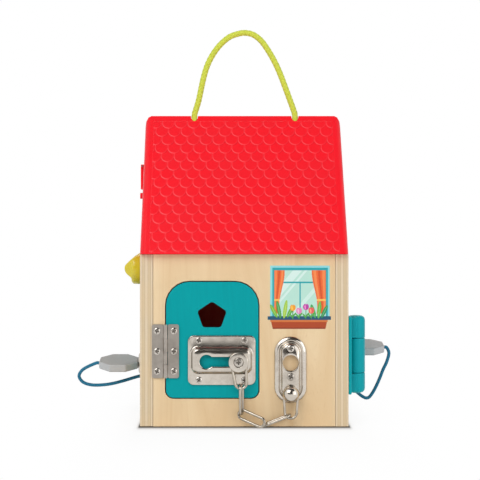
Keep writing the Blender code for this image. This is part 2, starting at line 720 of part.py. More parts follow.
def sloped_block(left, bottom, right, top, slope, back, front, rounding):
    """Add a raised block whose sides lean inwards from its back to its front, with rounded corners."""
    block = box((left, front, bottom), (right, back, top))
    half_width = (right - left) / 2
    half_height = (top - bottom) / 2
    shape = bmesh.new()
    shape.from_mesh(block.data)
    for vertex in shape.verts:
        if vertex.co.y < 0:
            vertex.co.x *= (half_width - slope) / half_width
            vertex.co.z *= (half_height - slope) / half_height
    corners = [edge for edge in shape.edges if edge.verts[0].co.y * edge.verts[1].co.y < 0]
    bmesh.ops.bevel(shape, geom=corners, offset=rounding, segments=4, profile=0.5, affect="EDGES")
    shape.to_mesh(block.data)
    shape.free()
    return block


def build_front_door(front_panel):
    """Add the front door with its hinge, its stop, the slotted track plate and the sliding knob."""
    face = BUTT_BARREL_RADIUS + GAP
    place = (FRONT_HINGE_X, -BODY_DEPTH / 2 - face, 0)
    station = empty("front_station", place)
    swing = empty("front_swing", place)
    sizes = (FRONT_DOOR_WIDTH, FRONT_DOOR_BOTTOM, FRONT_DOOR_TOP, FRONT_DOOR_LOW_ROUND, FRONT_DOOR_TOP_ROUND)
    door_opening(front_panel, station, *sizes, DOOR_GAP, face)
    door = door_leaf("front_door", *sizes, face, swing)
    pentagon = cylinder((PENTAGON_X - FRONT_HINGE_X, face + DOOR_THICKNESS / 2, PENTAGON_Z), PENTAGON_RADIUS,
                        DOOR_THICKNESS + 2 * OVERRUN, FACING_FRONT, 5)
    shape = bmesh.new()
    shape.from_mesh(pentagon.data)
    corners = [edge for edge in shape.edges if edge.verts[0].co.z * edge.verts[1].co.z < 0]
    bmesh.ops.bevel(shape, geom=corners, offset=PENTAGON_ROUND, segments=3, profile=0.5, affect="EDGES")
    for vertex in shape.verts:
        vertex.co.x *= PENTAGON_WIDTH_SHARE
    shape.to_mesh(pentagon.data)
    shape.free()
    cut(door, pentagon)
    fixed_leaf, moving_leaf = butt_hinge("front", station, swing)
    number = 0
    for side, hosts, parent in ((-1, (fixed_leaf, front_panel), station), (1, (moving_leaf, door), swing)):
        for height in BUTT_SCREW_HEIGHTS:
            number += 1
            seat = (side * BUTT_SCREW_REACH, BUTT_BARREL_RADIUS - BUTT_LEAF - GAP, height)
            bored_screw(f"front_hinge_screw_{number}", seat, STEEL, hosts, parent)
    stop_right = FRONT_HINGE_X + FRONT_DOOR_WIDTH + DOOR_GAP - GAP
    stop_front = -BODY_DEPTH / 2 + DOOR_THICKNESS + GAP
    stop_back = PLY - BODY_DEPTH / 2
    stop = box((stop_right - STOP_WIDTH, stop_front, STOP_BOTTOM), (stop_right, stop_back, STOP_TOP))
    piece(stop, "door_stop", PLYWOOD)
    build_track(door, swing, face)
    return swing


def build_track(door, swing, face):
    """Add the slotted plate, its four screws and the knob with its neck in the slot."""
    back = face - GAP
    across = -FRONT_HINGE_X
    outline = rounded_outline(TRACK_LEFT + across, TRACK_BOTTOM, TRACK_RIGHT + across, TRACK_TOP,
                              TRACK_ROUND, TRACK_ROUND)
    track = plate(outline, TRACK_SHEET, back - TRACK_SHEET / 2)
    join(track, sloped_block(BOSS_LEFT + across, BOSS_BOTTOM, BOSS_RIGHT + across, BOSS_TOP, BOSS_SLOPE,
                             back - GAP, back - BOSS_HEIGHT, BOSS_ROUND))
    depth = BOSS_HEIGHT + 2 * OVERRUN
    middle = back - BOSS_HEIGHT / 2
    half_slot = SLOT_WIDTH / 2
    cut(track, cylinder((KEYHOLE_X + across, middle, SLOT_Z), KEYHOLE_RADIUS, depth, FACING_FRONT))
    slot_outline = rounded_outline(KEYHOLE_X + across, SLOT_Z - half_slot, KNOB_X + across + half_slot,
                                   SLOT_Z + half_slot, half_slot - GAP, half_slot - GAP)
    cut(track, plate(slot_outline, depth, middle))
    cut(track, sloped_block(BOSS_LEFT + across + TRACK_SHEET, BOSS_BOTTOM + TRACK_SHEET,
                            BOSS_RIGHT + across - TRACK_SHEET, BOSS_TOP - TRACK_SHEET, BOSS_SLOPE,
                            back + OVERRUN + GAP, back - BOSS_HEIGHT + TRACK_SHEET, BOSS_ROUND))
    piece(track, "track_plate", NICKEL, swing)
    number = 0
    for height in (TRACK_TOP - TRACK_SCREW_INSET_Z, TRACK_BOTTOM + TRACK_SCREW_INSET_Z):
        for screw_x in (TRACK_LEFT + TRACK_SCREW_INSET_X, TRACK_RIGHT - TRACK_SCREW_INSET_X):
            number += 1
            seat = (screw_x + across, back - TRACK_SHEET - GAP, height)
            bored_screw(f"track_screw_{number}", seat, STEEL, (track, door), swing)


def knob_heights():
    """Return how far the foot, the shackle's wire and the disc stand in front of the door."""
    foot_top = BOSS_HEIGHT - TRACK_SHEET
    wire_height = GAP + BOSS_HEIGHT + GAP + LINK_WIRE_RADIUS
    disc_bottom = wire_height + LINK_WIRE_RADIUS + GAP
    return foot_top, wire_height, disc_bottom


def build_knob_and_chain(swing):
    """Add the sliding knob and the three links that hang from it."""
    foot_top, wire_height, disc_bottom = knob_heights()
    door_face = -BODY_DEPTH / 2
    disc_top = disc_bottom + KNOB_DISC
    rim = KNOB_DISC_RADIUS - KNOB_RECESS
    profile = [
        (0, disc_top - KNOB_RECESS),
        (KNOB_RECESS_RADIUS, disc_top - KNOB_RECESS),
        (KNOB_RECESS_RADIUS, disc_top),
        (rim, disc_top),
        (KNOB_DISC_RADIUS, disc_top - KNOB_RECESS),
        (KNOB_DISC_RADIUS, disc_bottom),
        (KNOB_NECK_RADIUS, disc_bottom),
        (KNOB_NECK_RADIUS, foot_top),
        (KNOB_FOOT_RADIUS, foot_top),
        (KNOB_FOOT_RADIUS, foot_top - KNOB_FOOT),
        (0, foot_top - KNOB_FOOT),
    ]
    slide = empty("knob_slide", (KNOB_X, door_face, SLOT_Z))
    keep_place(slide, swing)
    knob = turned(profile, (0, 0, 0), SPUN_ALONG_Y)
    piece(knob, "chain_knob", NICKEL, slide)
    first = Vector((KNOB_X, door_face - wire_height, SLOT_Z))
    low = first + Vector((SHACKLE_DROP[0], 0, SHACKLE_DROP[1]))
    pivot = empty("link_1_axis", first)
    keep_place(pivot, slide)
    across = (low - first).normalized().cross(Vector((0, 1, 0)))
    keep_place(loop_wire(first, SHACKLE_BEND, low, SHACKLE_LOW_BEND, across, "chain_link_1"), pivot)
    low_wire = low + (low - first).normalized() * SHACKLE_LOW_BEND
    second_axis = empty("link_2_axis", low_wire)
    keep_place(second_axis, pivot)
    down = Vector((0, 0, -1))
    tip = low_wire - down * LINK_PLAY
    keep_place(oval_link(tip, down, LINK_2_ACROSS, "chain_link_2"), second_axis)
    low_end = tip + down * LINK_LENGTH
    third_axis = empty("link_3_axis", low_end)
    keep_place(third_axis, second_axis)
    tip = low_end - LINK_3_DIRECTION * LINK_PLAY
    across = LINK_3_DIRECTION.cross(Vector((0, 1, 0))).normalized()
    keep_place(oval_link(tip, LINK_3_DIRECTION, across, "chain_link_3"), third_axis)


def oval_link(tip, along, across, name):
    """Bend one oval link from its near end along a direction."""
    first = tip + along * LINK_BEND
    second = tip + along * (LINK_LENGTH - LINK_BEND)
    return loop_wire(first, LINK_BEND, second, LINK_BEND, across, name)


def build_anchor(front_panel):
    """Add the anchor plate, its screws, the ball stud and the two links that hang from the stud."""
    face = -BODY_DEPTH / 2
    back = face - GAP
    half_plate = ANCHOR_WIDTH / 2
    half_strip = ANCHOR_STRIP_WIDTH / 2
    flange = half_plate - half_strip
    outline = rounded_outline(ANCHOR_X - half_plate, ANCHOR_BOTTOM, ANCHOR_X + half_plate, ANCHOR_TOP,
                              half_plate - GAP, half_plate - GAP)
    anchor = plate(outline, ANCHOR_SHEET, back - ANCHOR_SHEET / 2)
    strip_outline = rounded_outline(ANCHOR_X - half_strip, ANCHOR_BOTTOM + flange, ANCHOR_X + half_strip,
                                    ANCHOR_TOP - flange, half_strip - GAP, half_strip - GAP)
    strip_back = ANCHOR_SHEET / 2
    join(anchor, plate(strip_outline, ANCHOR_STRIP_HEIGHT - strip_back,
                       back - (ANCHOR_STRIP_HEIGHT + strip_back) / 2))
    hole_depth = 2 * (ANCHOR_STRIP_HEIGHT + OVERRUN)
    cut(anchor, cylinder((ANCHOR_X, back, ANCHOR_HOLE_Z), ANCHOR_HOLE_RADIUS, hole_depth, FACING_FRONT))
    piece(anchor, "anchor_plate", NICKEL)
    strip_front = back - ANCHOR_STRIP_HEIGHT
    for number, height in enumerate(ANCHOR_SCREW_HEIGHTS, 1):
        seat = (ANCHOR_X, strip_front - GAP, height)
        bored_screw(f"anchor_screw_{number}", seat, STEEL, (anchor, front_panel))
    neck_bottom = ANCHOR_STRIP_HEIGHT + 2 * GAP
    wire_height = neck_bottom + LINK_WIRE_RADIUS + GAP
    ball_bottom = wire_height + LINK_WIRE_RADIUS + GAP
    turns = [math.radians(angle) for angle in range(0, 91, 15)]
    dome = [(BALL_RADIUS * math.sin(turn), ball_bottom + BALL_HEIGHT * math.cos(turn)) for turn in turns]
    profile = [
        *dome,
        (BALL_NECK_RADIUS, ball_bottom),
        (BALL_NECK_RADIUS, neck_bottom),
        (BALL_NECK_RADIUS / 2, neck_bottom),
        (BALL_NECK_RADIUS / 2, -SCREW_LENGTH),
        (0, -SCREW_LENGTH),
    ]
    piece(turned(profile, (ANCHOR_X, face, BALL_Z), SPUN_ALONG_Y), "ball_stud", NICKEL)
    bore_length = neck_bottom + SCREW_LENGTH + GAP + OVERRUN
    bore_centre = (ANCHOR_X, face + SCREW_LENGTH + GAP - bore_length / 2, BALL_Z)
    for host in (anchor, front_panel):
        cut(host, cylinder(bore_centre, BALL_NECK_RADIUS / 2 + GAP, bore_length, FACING_FRONT, SMALL_SIDES))
    first = Vector((ANCHOR_X, face - wire_height, BALL_Z))
    low = first - Vector((0, 0, U_LINK_DROP))
    pivot = empty("link_5_axis", first)
    keep_place(loop_wire(first, U_LINK_BEND, low, U_LINK_LOW_BEND, Vector((1, 0, 0)), "chain_link_5"), pivot)
    tip = low + Vector((LAST_LINK_OFFSET[0], 0, LAST_LINK_OFFSET[1]))
    last_axis = empty("link_4_axis", tip)
    keep_place(last_axis, pivot)
    keep_place(oval_link(tip, LINK_4_DIRECTION, Vector((0, 1, 0)), "chain_link_4"), last_axis)


def build_lock(prefix, door, swing, reach, height, face, bow_tilt, cord_route):
    """Add a lock: its rose, turning cylinder and cam, the key in it and the cord that tethers the key."""
    wall_face = (reach, face, height)
    cut(door, cylinder((reach, face + DOOR_THICKNESS / 2, height), CYLINDER_RADIUS + GAP,
                       DOOR_THICKNESS + 2 * OVERRUN, FACING_FRONT))
    rose_depth = ROSE_HEIGHT - GAP
    rose = cylinder((reach, face - GAP - rose_depth / 2, height), ROSE_RADIUS, rose_depth, FACING_FRONT)
    bore_depth = 2 * (ROSE_HEIGHT + OVERRUN)
    cut(rose, cylinder((reach, face, height), CYLINDER_RADIUS + GAP, bore_depth, FACING_FRONT))
    piece(rose, f"{prefix}_rose", NICKEL, swing)
    turn = empty(f"{prefix}_key_axis", wall_face, parent=swing)
    inner_end = PLY + CAM_CLEARANCE
    barrel = cylinder((0, (inner_end - ROSE_HEIGHT) / 2, 0), CYLINDER_RADIUS, ROSE_HEIGHT + inner_end,
                      FACING_FRONT)
    bow_near = -(ROSE_HEIGHT + GAP)
    blade_end = bow_near + BLADE_LENGTH
    half_width = BLADE_WIDTH / 2
    half_thick = BLADE_THICKNESS / 2
    tilt = (0, math.radians(bow_tilt), 0)
    keyway = box((-half_width - GAP, bow_near - OVERRUN, -half_thick - GAP),
                 (half_width + GAP, blade_end + GAP, half_thick + GAP))
    keyway.rotation_euler = tilt
    cut(barrel, keyway)
    piece(barrel, f"{prefix}_cylinder", STEEL, turn)
    half_cam = CAM_WIDTH / 2
    cam_front = inner_end + GAP
    cam = box((-half_cam, cam_front, -half_cam), (half_cam, cam_front + CAM_THICKNESS, CAM_LENGTH))
    piece(cam, f"{prefix}_cam", STEEL, turn)
    half_bow = BOW_WIDTH / 2
    half_side = math.pi / BOW_SIDES
    bow = cylinder((0, bow_near - half_bow, 0), half_bow / math.cos(half_side), BOW_THICKNESS,
                   sides=BOW_SIDES)
    bow.data.transform(Matrix.Rotation(half_side, 4, "Z"))
    bow.rotation_euler = tilt
    rounding = bow.modifiers.new("rounding", "BEVEL")
    rounding.width = BOW_ROUND
    rounding.segments = 2
    blade = box((-half_width, bow_near - half_bow, -half_thick), (half_width, blade_end, half_thick))
    blade.rotation_euler = tilt
    join(bow, blade)
    piece(bow, f"{prefix}_key", KEY_GREY, turn)
    route = [Vector((reach + side, face - out, up)) for side, out, up in cord_route]
    piece(wire(smooth_route(route, CORD_POINT_SPACING), CORD_RADIUS), f"{prefix}_key_cord", BLUE_CORD, swing)
    grommet_depth = GROMMET_HEIGHT - GAP
    centre = (route[-1].x, face - GAP - grommet_depth / 2, route[-1].z)
    piece(cylinder(centre, GROMMET_RADIUS, grommet_depth, FACING_FRONT, SMALL_SIDES),
          f"{prefix}_cord_grommet", BLUE_CORD, swing)


def build_left_side(left_wall):
    """Add the left door on its steel hinge, its lock, and the turn latch above it."""
    face = BUTT_BARREL_RADIUS + GAP
    place = (-BODY_WIDTH / 2 - face, LEFT_HINGE_Y, 0)
    station = empty("left_station", place, -90)
    swing = empty("left_swing", place, -90)
    sizes = (LEFT_DOOR_WIDTH, SIDE_DOOR_BOTTOM, LEFT_DOOR_TOP, SIDE_DOOR_ROUND, SIDE_DOOR_ROUND)
    door_opening(left_wall, station, *sizes, DOOR_GAP, face)
    door = door_leaf("left_door", *sizes, face, swing)
    butt_hinge("left", station, swing)
    build_lock("left", door, swing, LEFT_LOCK_REACH, LEFT_LOCK_Z, face,
               LEFT_BOW_TILT_DEGREES, LEFT_CORD_ROUTE)
    latch_y = LEFT_HINGE_Y - LEFT_LOCK_REACH
    turn = empty("latch_axis", (-BODY_WIDTH / 2, latch_y, LATCH_Z), -90)
    disc_depth = LATCH_THICKNESS - GAP
    latch = cylinder((0, -GAP - disc_depth / 2, 0), LATCH_RADIUS, disc_depth, FACING_FRONT,
                     rounding=LATCH_ROUND)
    half_grip = GRIP_WIDTH / 2
    grip = box((-GRIP_LENGTH / 2, -LATCH_THICKNESS - GRIP_HEIGHT, -half_grip),
               (GRIP_LENGTH / 2, -LATCH_THICKNESS / 2, half_grip), GRIP_ROUND, 3)
    join(latch, grip)
    half_tongue = TONGUE_WIDTH / 2
    join(latch, box((-TONGUE_LENGTH, -2 * GAP - TONGUE_THICKNESS, -half_tongue), (0, -2 * GAP, half_tongue)))
    piece(latch, "turn_latch", LIME, turn)


def build_right_side(right_wall):
    """Add the right door on its moulded hinge, with its lock."""
    face = MOULDED_BARREL_RADIUS + GAP
    place = (BODY_WIDTH / 2 + face, RIGHT_HINGE_Y, 0)
    station = empty("right_station", place, 90)
    swing = empty("right_swing", place, 90)
    sizes = (RIGHT_DOOR_WIDTH, SIDE_DOOR_BOTTOM, RIGHT_DOOR_TOP, SIDE_DOOR_ROUND, SIDE_DOOR_ROUND)
    door_opening(right_wall, station, *sizes, RIGHT_DOOR_FREE_GAP, face)
    door = door_leaf("right_door", *sizes, face, swing)
    moulded_hinge("right", station, swing)
    build_lock("right", door, swing, RIGHT_LOCK_REACH, RIGHT_LOCK_Z, face,
               RIGHT_BOW_TILT_DEGREES, RIGHT_CORD_ROUTE)


def main():
    """Build the whole house."""
    left_wall, right_wall, front_panel = build_house()
    build_roof()
    swing = build_front_door(front_panel)
    build_knob_and_chain(swing)
    build_anchor(front_panel)
    build_left_side(left_wall)
    build_right_side(right_wall)


main()
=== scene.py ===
"""Dressed model of a small wooden activity house with a red scaled roof and working locks."""
import logging
import math
from collections.abc import Iterator
from contextlib import contextmanager
from dataclasses import dataclass, field
from enum import Enum

import bmesh
import bpy
import numpy as np
from mathutils import Matrix, Vector


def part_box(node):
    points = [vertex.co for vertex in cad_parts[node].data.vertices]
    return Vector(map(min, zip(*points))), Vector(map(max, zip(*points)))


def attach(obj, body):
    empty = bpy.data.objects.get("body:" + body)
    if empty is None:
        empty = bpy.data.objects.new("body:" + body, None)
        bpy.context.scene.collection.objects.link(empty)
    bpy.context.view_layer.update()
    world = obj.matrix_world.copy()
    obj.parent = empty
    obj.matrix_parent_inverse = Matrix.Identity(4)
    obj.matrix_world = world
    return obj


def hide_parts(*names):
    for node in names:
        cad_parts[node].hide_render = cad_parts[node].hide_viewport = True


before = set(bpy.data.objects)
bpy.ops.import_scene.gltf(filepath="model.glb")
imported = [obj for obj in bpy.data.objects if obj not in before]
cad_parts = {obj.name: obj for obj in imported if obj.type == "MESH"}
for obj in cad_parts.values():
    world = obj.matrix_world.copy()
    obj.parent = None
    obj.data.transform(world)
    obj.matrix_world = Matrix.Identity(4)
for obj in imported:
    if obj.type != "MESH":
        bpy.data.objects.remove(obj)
log = logging.getLogger("activity_house")

MM = 0.001
FULL_TURN = 2 * math.pi
QUARTER_TURN = math.pi / 2

Pair = tuple[float, float]
Point = tuple[float, float, float]
Tint = tuple[float, float, float, float]
Profile = tuple[Pair, ...]
Tree = bpy.types.NodeTree
Socket = bpy.types.NodeSocket
Object = bpy.types.Object
Material = bpy.types.Material

ORIGIN = (0, 0, 0)
RIGHT = (1, 0, 0)
BACK = (0, 1, 0)
UP = (0, 0, 1)
FORWARD = (0, -1, 0)
BLACK = (0.0, 0.0, 0.0, 1.0)
WHITE = (1.0, 1.0, 1.0, 1.0)

# Sizes that more than one sub-assembly uses, in millimetres

BODY_HALF_WIDTH = 97.0
FRONT_FACE = -82.5
ROOF_PEAK = 296.3
ROOF_HALF_SPAN = 88.5
ROOF_RISE = 136.0
ROOF_SKIN = 5.0
GABLE_INSIDE = 93.6
SCREW_SEAT = 1.1
POLISH_DEPTH = 0.008


# Colours and nodes

def tint(red: int, green: int, blue: int) -> Tint:
    """Turn a colour of 0 to 255 steps a channel into the linear values that a shader reads."""
    channels = np.array([red, green, blue]) / 255
    linear = np.where(channels <= 0.04045, channels / 12.92, ((channels + 0.055) / 1.055) ** 2.4)
    return (*map(float, linear), 1.0)


class Nodes:
    """A node tree with short ways to add to it. A value is a number, a colour or the socket that feeds it."""

    def __init__(self, tree: Tree) -> None:
        """Keep the tree that gets the nodes."""
        self.tree = tree

    def feed(self, sockets: object, values: dict) -> None:
        """Give each named or numbered socket its value."""
        for key, value in values.items():
            if isinstance(value, Socket):
                self.tree.links.new(value, sockets[key])
            else:
                sockets[key].default_value = value

    def put(self, kind: str, inputs: dict | None = None, **options: object) -> bpy.types.Node:
        """Add a node.

        Args:
            kind: the node's type, without the leading ShaderNode.
            inputs: a value for each input's name or number.
            options: the node's own settings.

        Returns:
            The new node.
        """
        node = self.tree.nodes.new("ShaderNode" + kind)
        for option, value in options.items():
            setattr(node, option, value)
        self.feed(node.inputs, inputs or {})
        return node

    def sums(self, operation: str, *values: object, clamp: bool = False) -> Socket:
        """Work out one operation of a Math node."""
        return self.put("Math", dict(enumerate(values)), operation=operation, use_clamp=clamp).outputs[0]

    def times(self, first: object, second: object) -> Socket:
        """Multiply two values."""
        return self.sums("MULTIPLY", first, second)

    def plus(self, first: object, second: object) -> Socket:
        """Add two values."""
        return self.sums("ADD", first, second)

    def minus(self, first: object, second: object) -> Socket:
        """Take the second value from the first."""
        return self.sums("SUBTRACT", first, second)

    def size_of(self, value: object) -> Socket:
        """Drop a value's sign."""
        return self.sums("ABSOLUTE", value)

    def blend(self, share: object, first: object, second: object, mode: str = "MIX") -> Socket:
        """Mix two colours by a share from 0 to 1."""
        return self.put("Mix", {0: share, 6: first, 7: second}, data_type="RGBA", blend_type=mode).outputs[2]

    def tinge(self, body: object, value: object, share: float, colour: Tint) -> Socket:
        """Blend a colour into a body colour by a share of a value."""
        return self.blend(self.times(value, share), body, colour)

    def ramp(self, value: object, stops: list[tuple[float, object]]) -> Socket:
        """Turn a value into a colour by stops of (place, colour or grey)."""
        node = self.put("ValToRGB", {0: value})
        elements = node.color_ramp.elements
        while len(elements) < len(stops):
            elements.new(1.0)
        for element, (place, colour) in zip(elements, stops):
            element.position = place
            element.color = colour if isinstance(colour, tuple) else (colour, colour, colour, 1.0)
        return node.outputs[0]

    def remap(self, value: object, low: float, high: float, start: float = 0.0, end: float = 1.0) -> Socket:
        """Carry a value from the span of low to high to another, held at the new span's ends."""
        return self.put("MapRange", {0: value, 1: low, 2: high, 3: start, 4: end}).outputs[0]

    def noise(self, place: object, scale: float, detail: float = 3.0, roughness: float = 0.5) -> Socket:
        """Read a noise at a place."""
        inputs = {"Vector": place, "Scale": scale, "Detail": detail, "Roughness": roughness}
        return self.put("TexNoise", inputs).outputs[0]

    def stretched(self, place: object, scale: object, shift: object = ORIGIN) -> Socket:
        """Scale and shift a place so that a pattern is long in one direction."""
        scaled = self.put("VectorMath", {0: place, 1: scale}, operation="MULTIPLY").outputs[0]
        return self.put("VectorMath", {0: scaled, 1: shift}, operation="ADD").outputs[0]

    def parts(self, vector: object) -> object:
        """Split a vector into its three values."""
        return self.put("SeparateXYZ", {0: vector}).outputs

    def seen(self) -> Socket:
        """Tell rays that show a surface, straight, mirrored or through glass, from those that only light it."""
        rays = self.put("LightPath").outputs
        shown = self.sums("MAXIMUM", rays["Is Camera Ray"], rays["Is Glossy Ray"])
        return self.sums("MAXIMUM", shown, rays["Is Transmission Ray"])


class Group(Nodes):
    """A shader node group under construction, with named inputs and outputs."""

    def __init__(self, name: str, inputs: dict[str, object], *outputs: str) -> None:
        """Start the group.

        Args:
            name: the group's name.
            inputs: the default for each input's name, three numbers for a vector and one for a value.
            outputs: the name of each value that it gives.
        """
        super().__init__(bpy.data.node_groups.new(name, "ShaderNodeTree"))
        add_socket = self.tree.interface.new_socket
        for label, default in inputs.items():
            kind = "NodeSocketVector" if isinstance(default, tuple) else "NodeSocketFloat"
            add_socket(label, in_out="INPUT", socket_type=kind).default_value = default
        for label in outputs:
            add_socket(label, in_out="OUTPUT", socket_type="NodeSocketFloat")
        self.given = self.tree.nodes.new("NodeGroupInput").outputs
        self.end = self.tree.nodes.new("NodeGroupOutput")

    def ended(self, **results: Socket) -> Tree:
        """Feed the group's outputs and return the group."""
        self.feed(self.end.inputs, results)
        return self.tree


class EffectGroups:
    """Shader node groups that more than one finish uses, each built once."""

    def __init__(self) -> None:
        """Build every group."""
        self.grain = self._grain()
        self.wear = self._wear()
        self.brushing = self._brushing()
        self.weave = self._weave()

    @staticmethod
    def _grain() -> Tree:
        """Veneer grain: long streaks, a slow figure and short fine pores, all drawn out along one direction."""
        group = Group("wood_grain", {"Place": ORIGIN, "Stretch": (1, 1, 1), "Shift": ORIGIN},
                      "Streak", "Figure", "Pore", "Height")
        place = group.stretched(*(group.given[label] for label in ("Place", "Stretch", "Shift")))
        bend = group.noise(place, 9.0, 2.0)
        swayed = group.put("VectorMath", {0: place, 1: bend}, operation="ADD").outputs[0]
        streak = group.noise(swayed, 150.0, 4.0, 0.6)
        pore = group.remap(group.noise(swayed, 620.0, 2.0, 0.7), 0.58, 0.74)
        height = group.minus(group.times(streak, 0.5), group.times(pore, 0.5))
        return group.ended(Streak=streak, Figure=group.noise(swayed, 22.0, 2.0), Pore=pore, Height=height)

    @staticmethod
    def _wear() -> Tree:
        """Handling marks: broad mottling, faint scuffs and settled dust on faces that look up."""
        group = Group("handling_wear", {"Place": ORIGIN, "Facing": UP, "Scuffing": 0.5},
                      "Mottle", "Scuff", "Dust", "Skin")
        place = group.given["Place"]
        marks = [group.remap(group.noise(group.stretched(place, stretch), scale, 2.0, 0.8), 0.66, 0.8)
                 for stretch, scale in (((1.0, 1.0, 6.0), 210.0), ((7.0, 1.0, 1.0), 160.0))]
        patch = group.remap(group.noise(place, 45.0, 2.0), 0.45, 0.7)
        scuff = group.times(group.times(group.sums("MAXIMUM", *marks), patch), group.given["Scuffing"])
        up = group.parts(group.given["Facing"])[2]
        dust = group.times(group.remap(up, 0.55, 1.0), group.remap(group.noise(place, 900.0, 2.0), 0.5, 0.8))
        return group.ended(Mottle=group.noise(place, 28.0), Scuff=scuff, Dust=dust,
                           Skin=group.noise(place, 1400.0, 2.0))

    @staticmethod
    def _brushing() -> Tree:
        """Fine parallel scratches of brushed metal, drawn out along one direction, with smudges."""
        group = Group("brushed_metal", {"Place": ORIGIN, "Stretch": (1, 1, 0.05)}, "Line", "Smudge")
        place = group.given["Place"]
        line = group.noise(group.stretched(place, group.given["Stretch"]), 2600.0, 3.0, 0.65)
        return group.ended(Line=line, Smudge=group.noise(place, 75.0, 3.0, 0.6))

    @staticmethod
    def _weave() -> Tree:
        """Fibres of a plaited cord, running slantwise both ways round it by the piece's own map."""
        group = Group("cord_fibres", {"Map": ORIGIN, "Turns": 40.0, "Slant": 30.0}, "Fibre", "Fuzz")
        place = group.parts(group.given["Map"])
        around = group.times(place[0], group.given["Turns"])
        along = group.times(place[1], group.given["Slant"])
        lines = [group.sums("SINE", group.sums(way, around, along)) for way in ("ADD", "SUBTRACT")]
        fuzz = group.noise(group.put("TexCoord").outputs["Object"], 1800.0, 3.0, 0.7)
        return group.ended(Fibre=group.sums("MAXIMUM", *map(group.size_of, lines)), Fuzz=fuzz)


class Axis(Enum):
    """A direction that a sheet is thin in."""

    X = 0
    Y = 1
    Z = 2


class Surface(Nodes):
    """A material under construction: its tree, its shader and the places that its patterns read."""

    def __init__(self, name: str, effects: EffectGroups | None = None) -> None:
        """Start a material of a name with a Principled shader, and keep the shared effects at hand."""
        self.effects = effects
        self.material = bpy.data.materials.new(name)
        self.material.use_nodes = True
        super().__init__(self.material.node_tree)
        self.tree.nodes.clear()
        self.shader = self.put("BsdfPrincipled")
        self.end = self.put("OutputMaterial", {0: self.shader.outputs[0]})
        places = self.put("TexCoord").outputs
        self.place, self.facing, self.map = places["Object"], places["Normal"], places["UV"]

    def effect(self, group: Tree, **inputs: object) -> object:
        """Place a shared effect group with this material's own values, and return its outputs."""
        node = self.tree.nodes.new("ShaderNodeGroup")
        node.node_tree = group
        self.feed(node.inputs, inputs)
        return node.outputs

    def grain(self, stretch: float, shift: Point = ORIGIN) -> object:
        """Place the wood grain, upright, with its scale along the grain."""
        return self.effect(self.effects.grain, Place=self.place, Stretch=(1.0, 1.0, stretch), Shift=shift)

    def wear(self, scuffing: float) -> object:
        """Place the handling marks."""
        return self.effect(self.effects.wear, Place=self.place, Facing=self.facing, Scuffing=scuffing)

    def patchy(self, wear: object, low: float, high: float) -> Socket:
        """Vary a roughness between two values with the handling marks' mottling."""
        return self.remap(wear["Mottle"], 0.3, 0.7, low, high)

    def mark(self, name: str, output: str = "Fac") -> Socket:
        """Read one of the piece's own attributes."""
        return self.put("Attribute", attribute_name=name).outputs[output]

    def faces(self, axis: Axis, low: float, at_low: float = 0.0, at_high: float = 1.0) -> Socket:
        """Tell faces that look along an axis from those that look across it."""
        return self.remap(self.size_of(self.parts(self.facing)[axis.value]), low, 0.85, at_low, at_high)

    def set(self, **values: object) -> None:
        """Set the shader's own sockets, an underline in a name standing for a space."""
        self.feed(self.shader.inputs, {label.replace("_", " "): value for label, value in values.items()})

    def bump(self, height: Socket, depth: float, strength: float) -> None:
        """Raise the surface by a pattern of a depth in millimetres."""
        node = self.put("Bump", {"Height": height, "Distance": depth * MM, "Strength": strength})
        self.set(Normal=node.outputs[0])


# Finishes

@dataclass(frozen=True)
class Finish:
    """What a piece's surface is made of."""

    def material(self, name: str, effects: EffectGroups) -> Material:
        """Build a material of this finish."""
        surface = Surface(name, effects)
        self.lay(surface)
        return surface.material

    def lay(self, surface: Surface) -> None:
        """Lay the finish's colours, shine and relief on a surface."""
        raise NotImplementedError


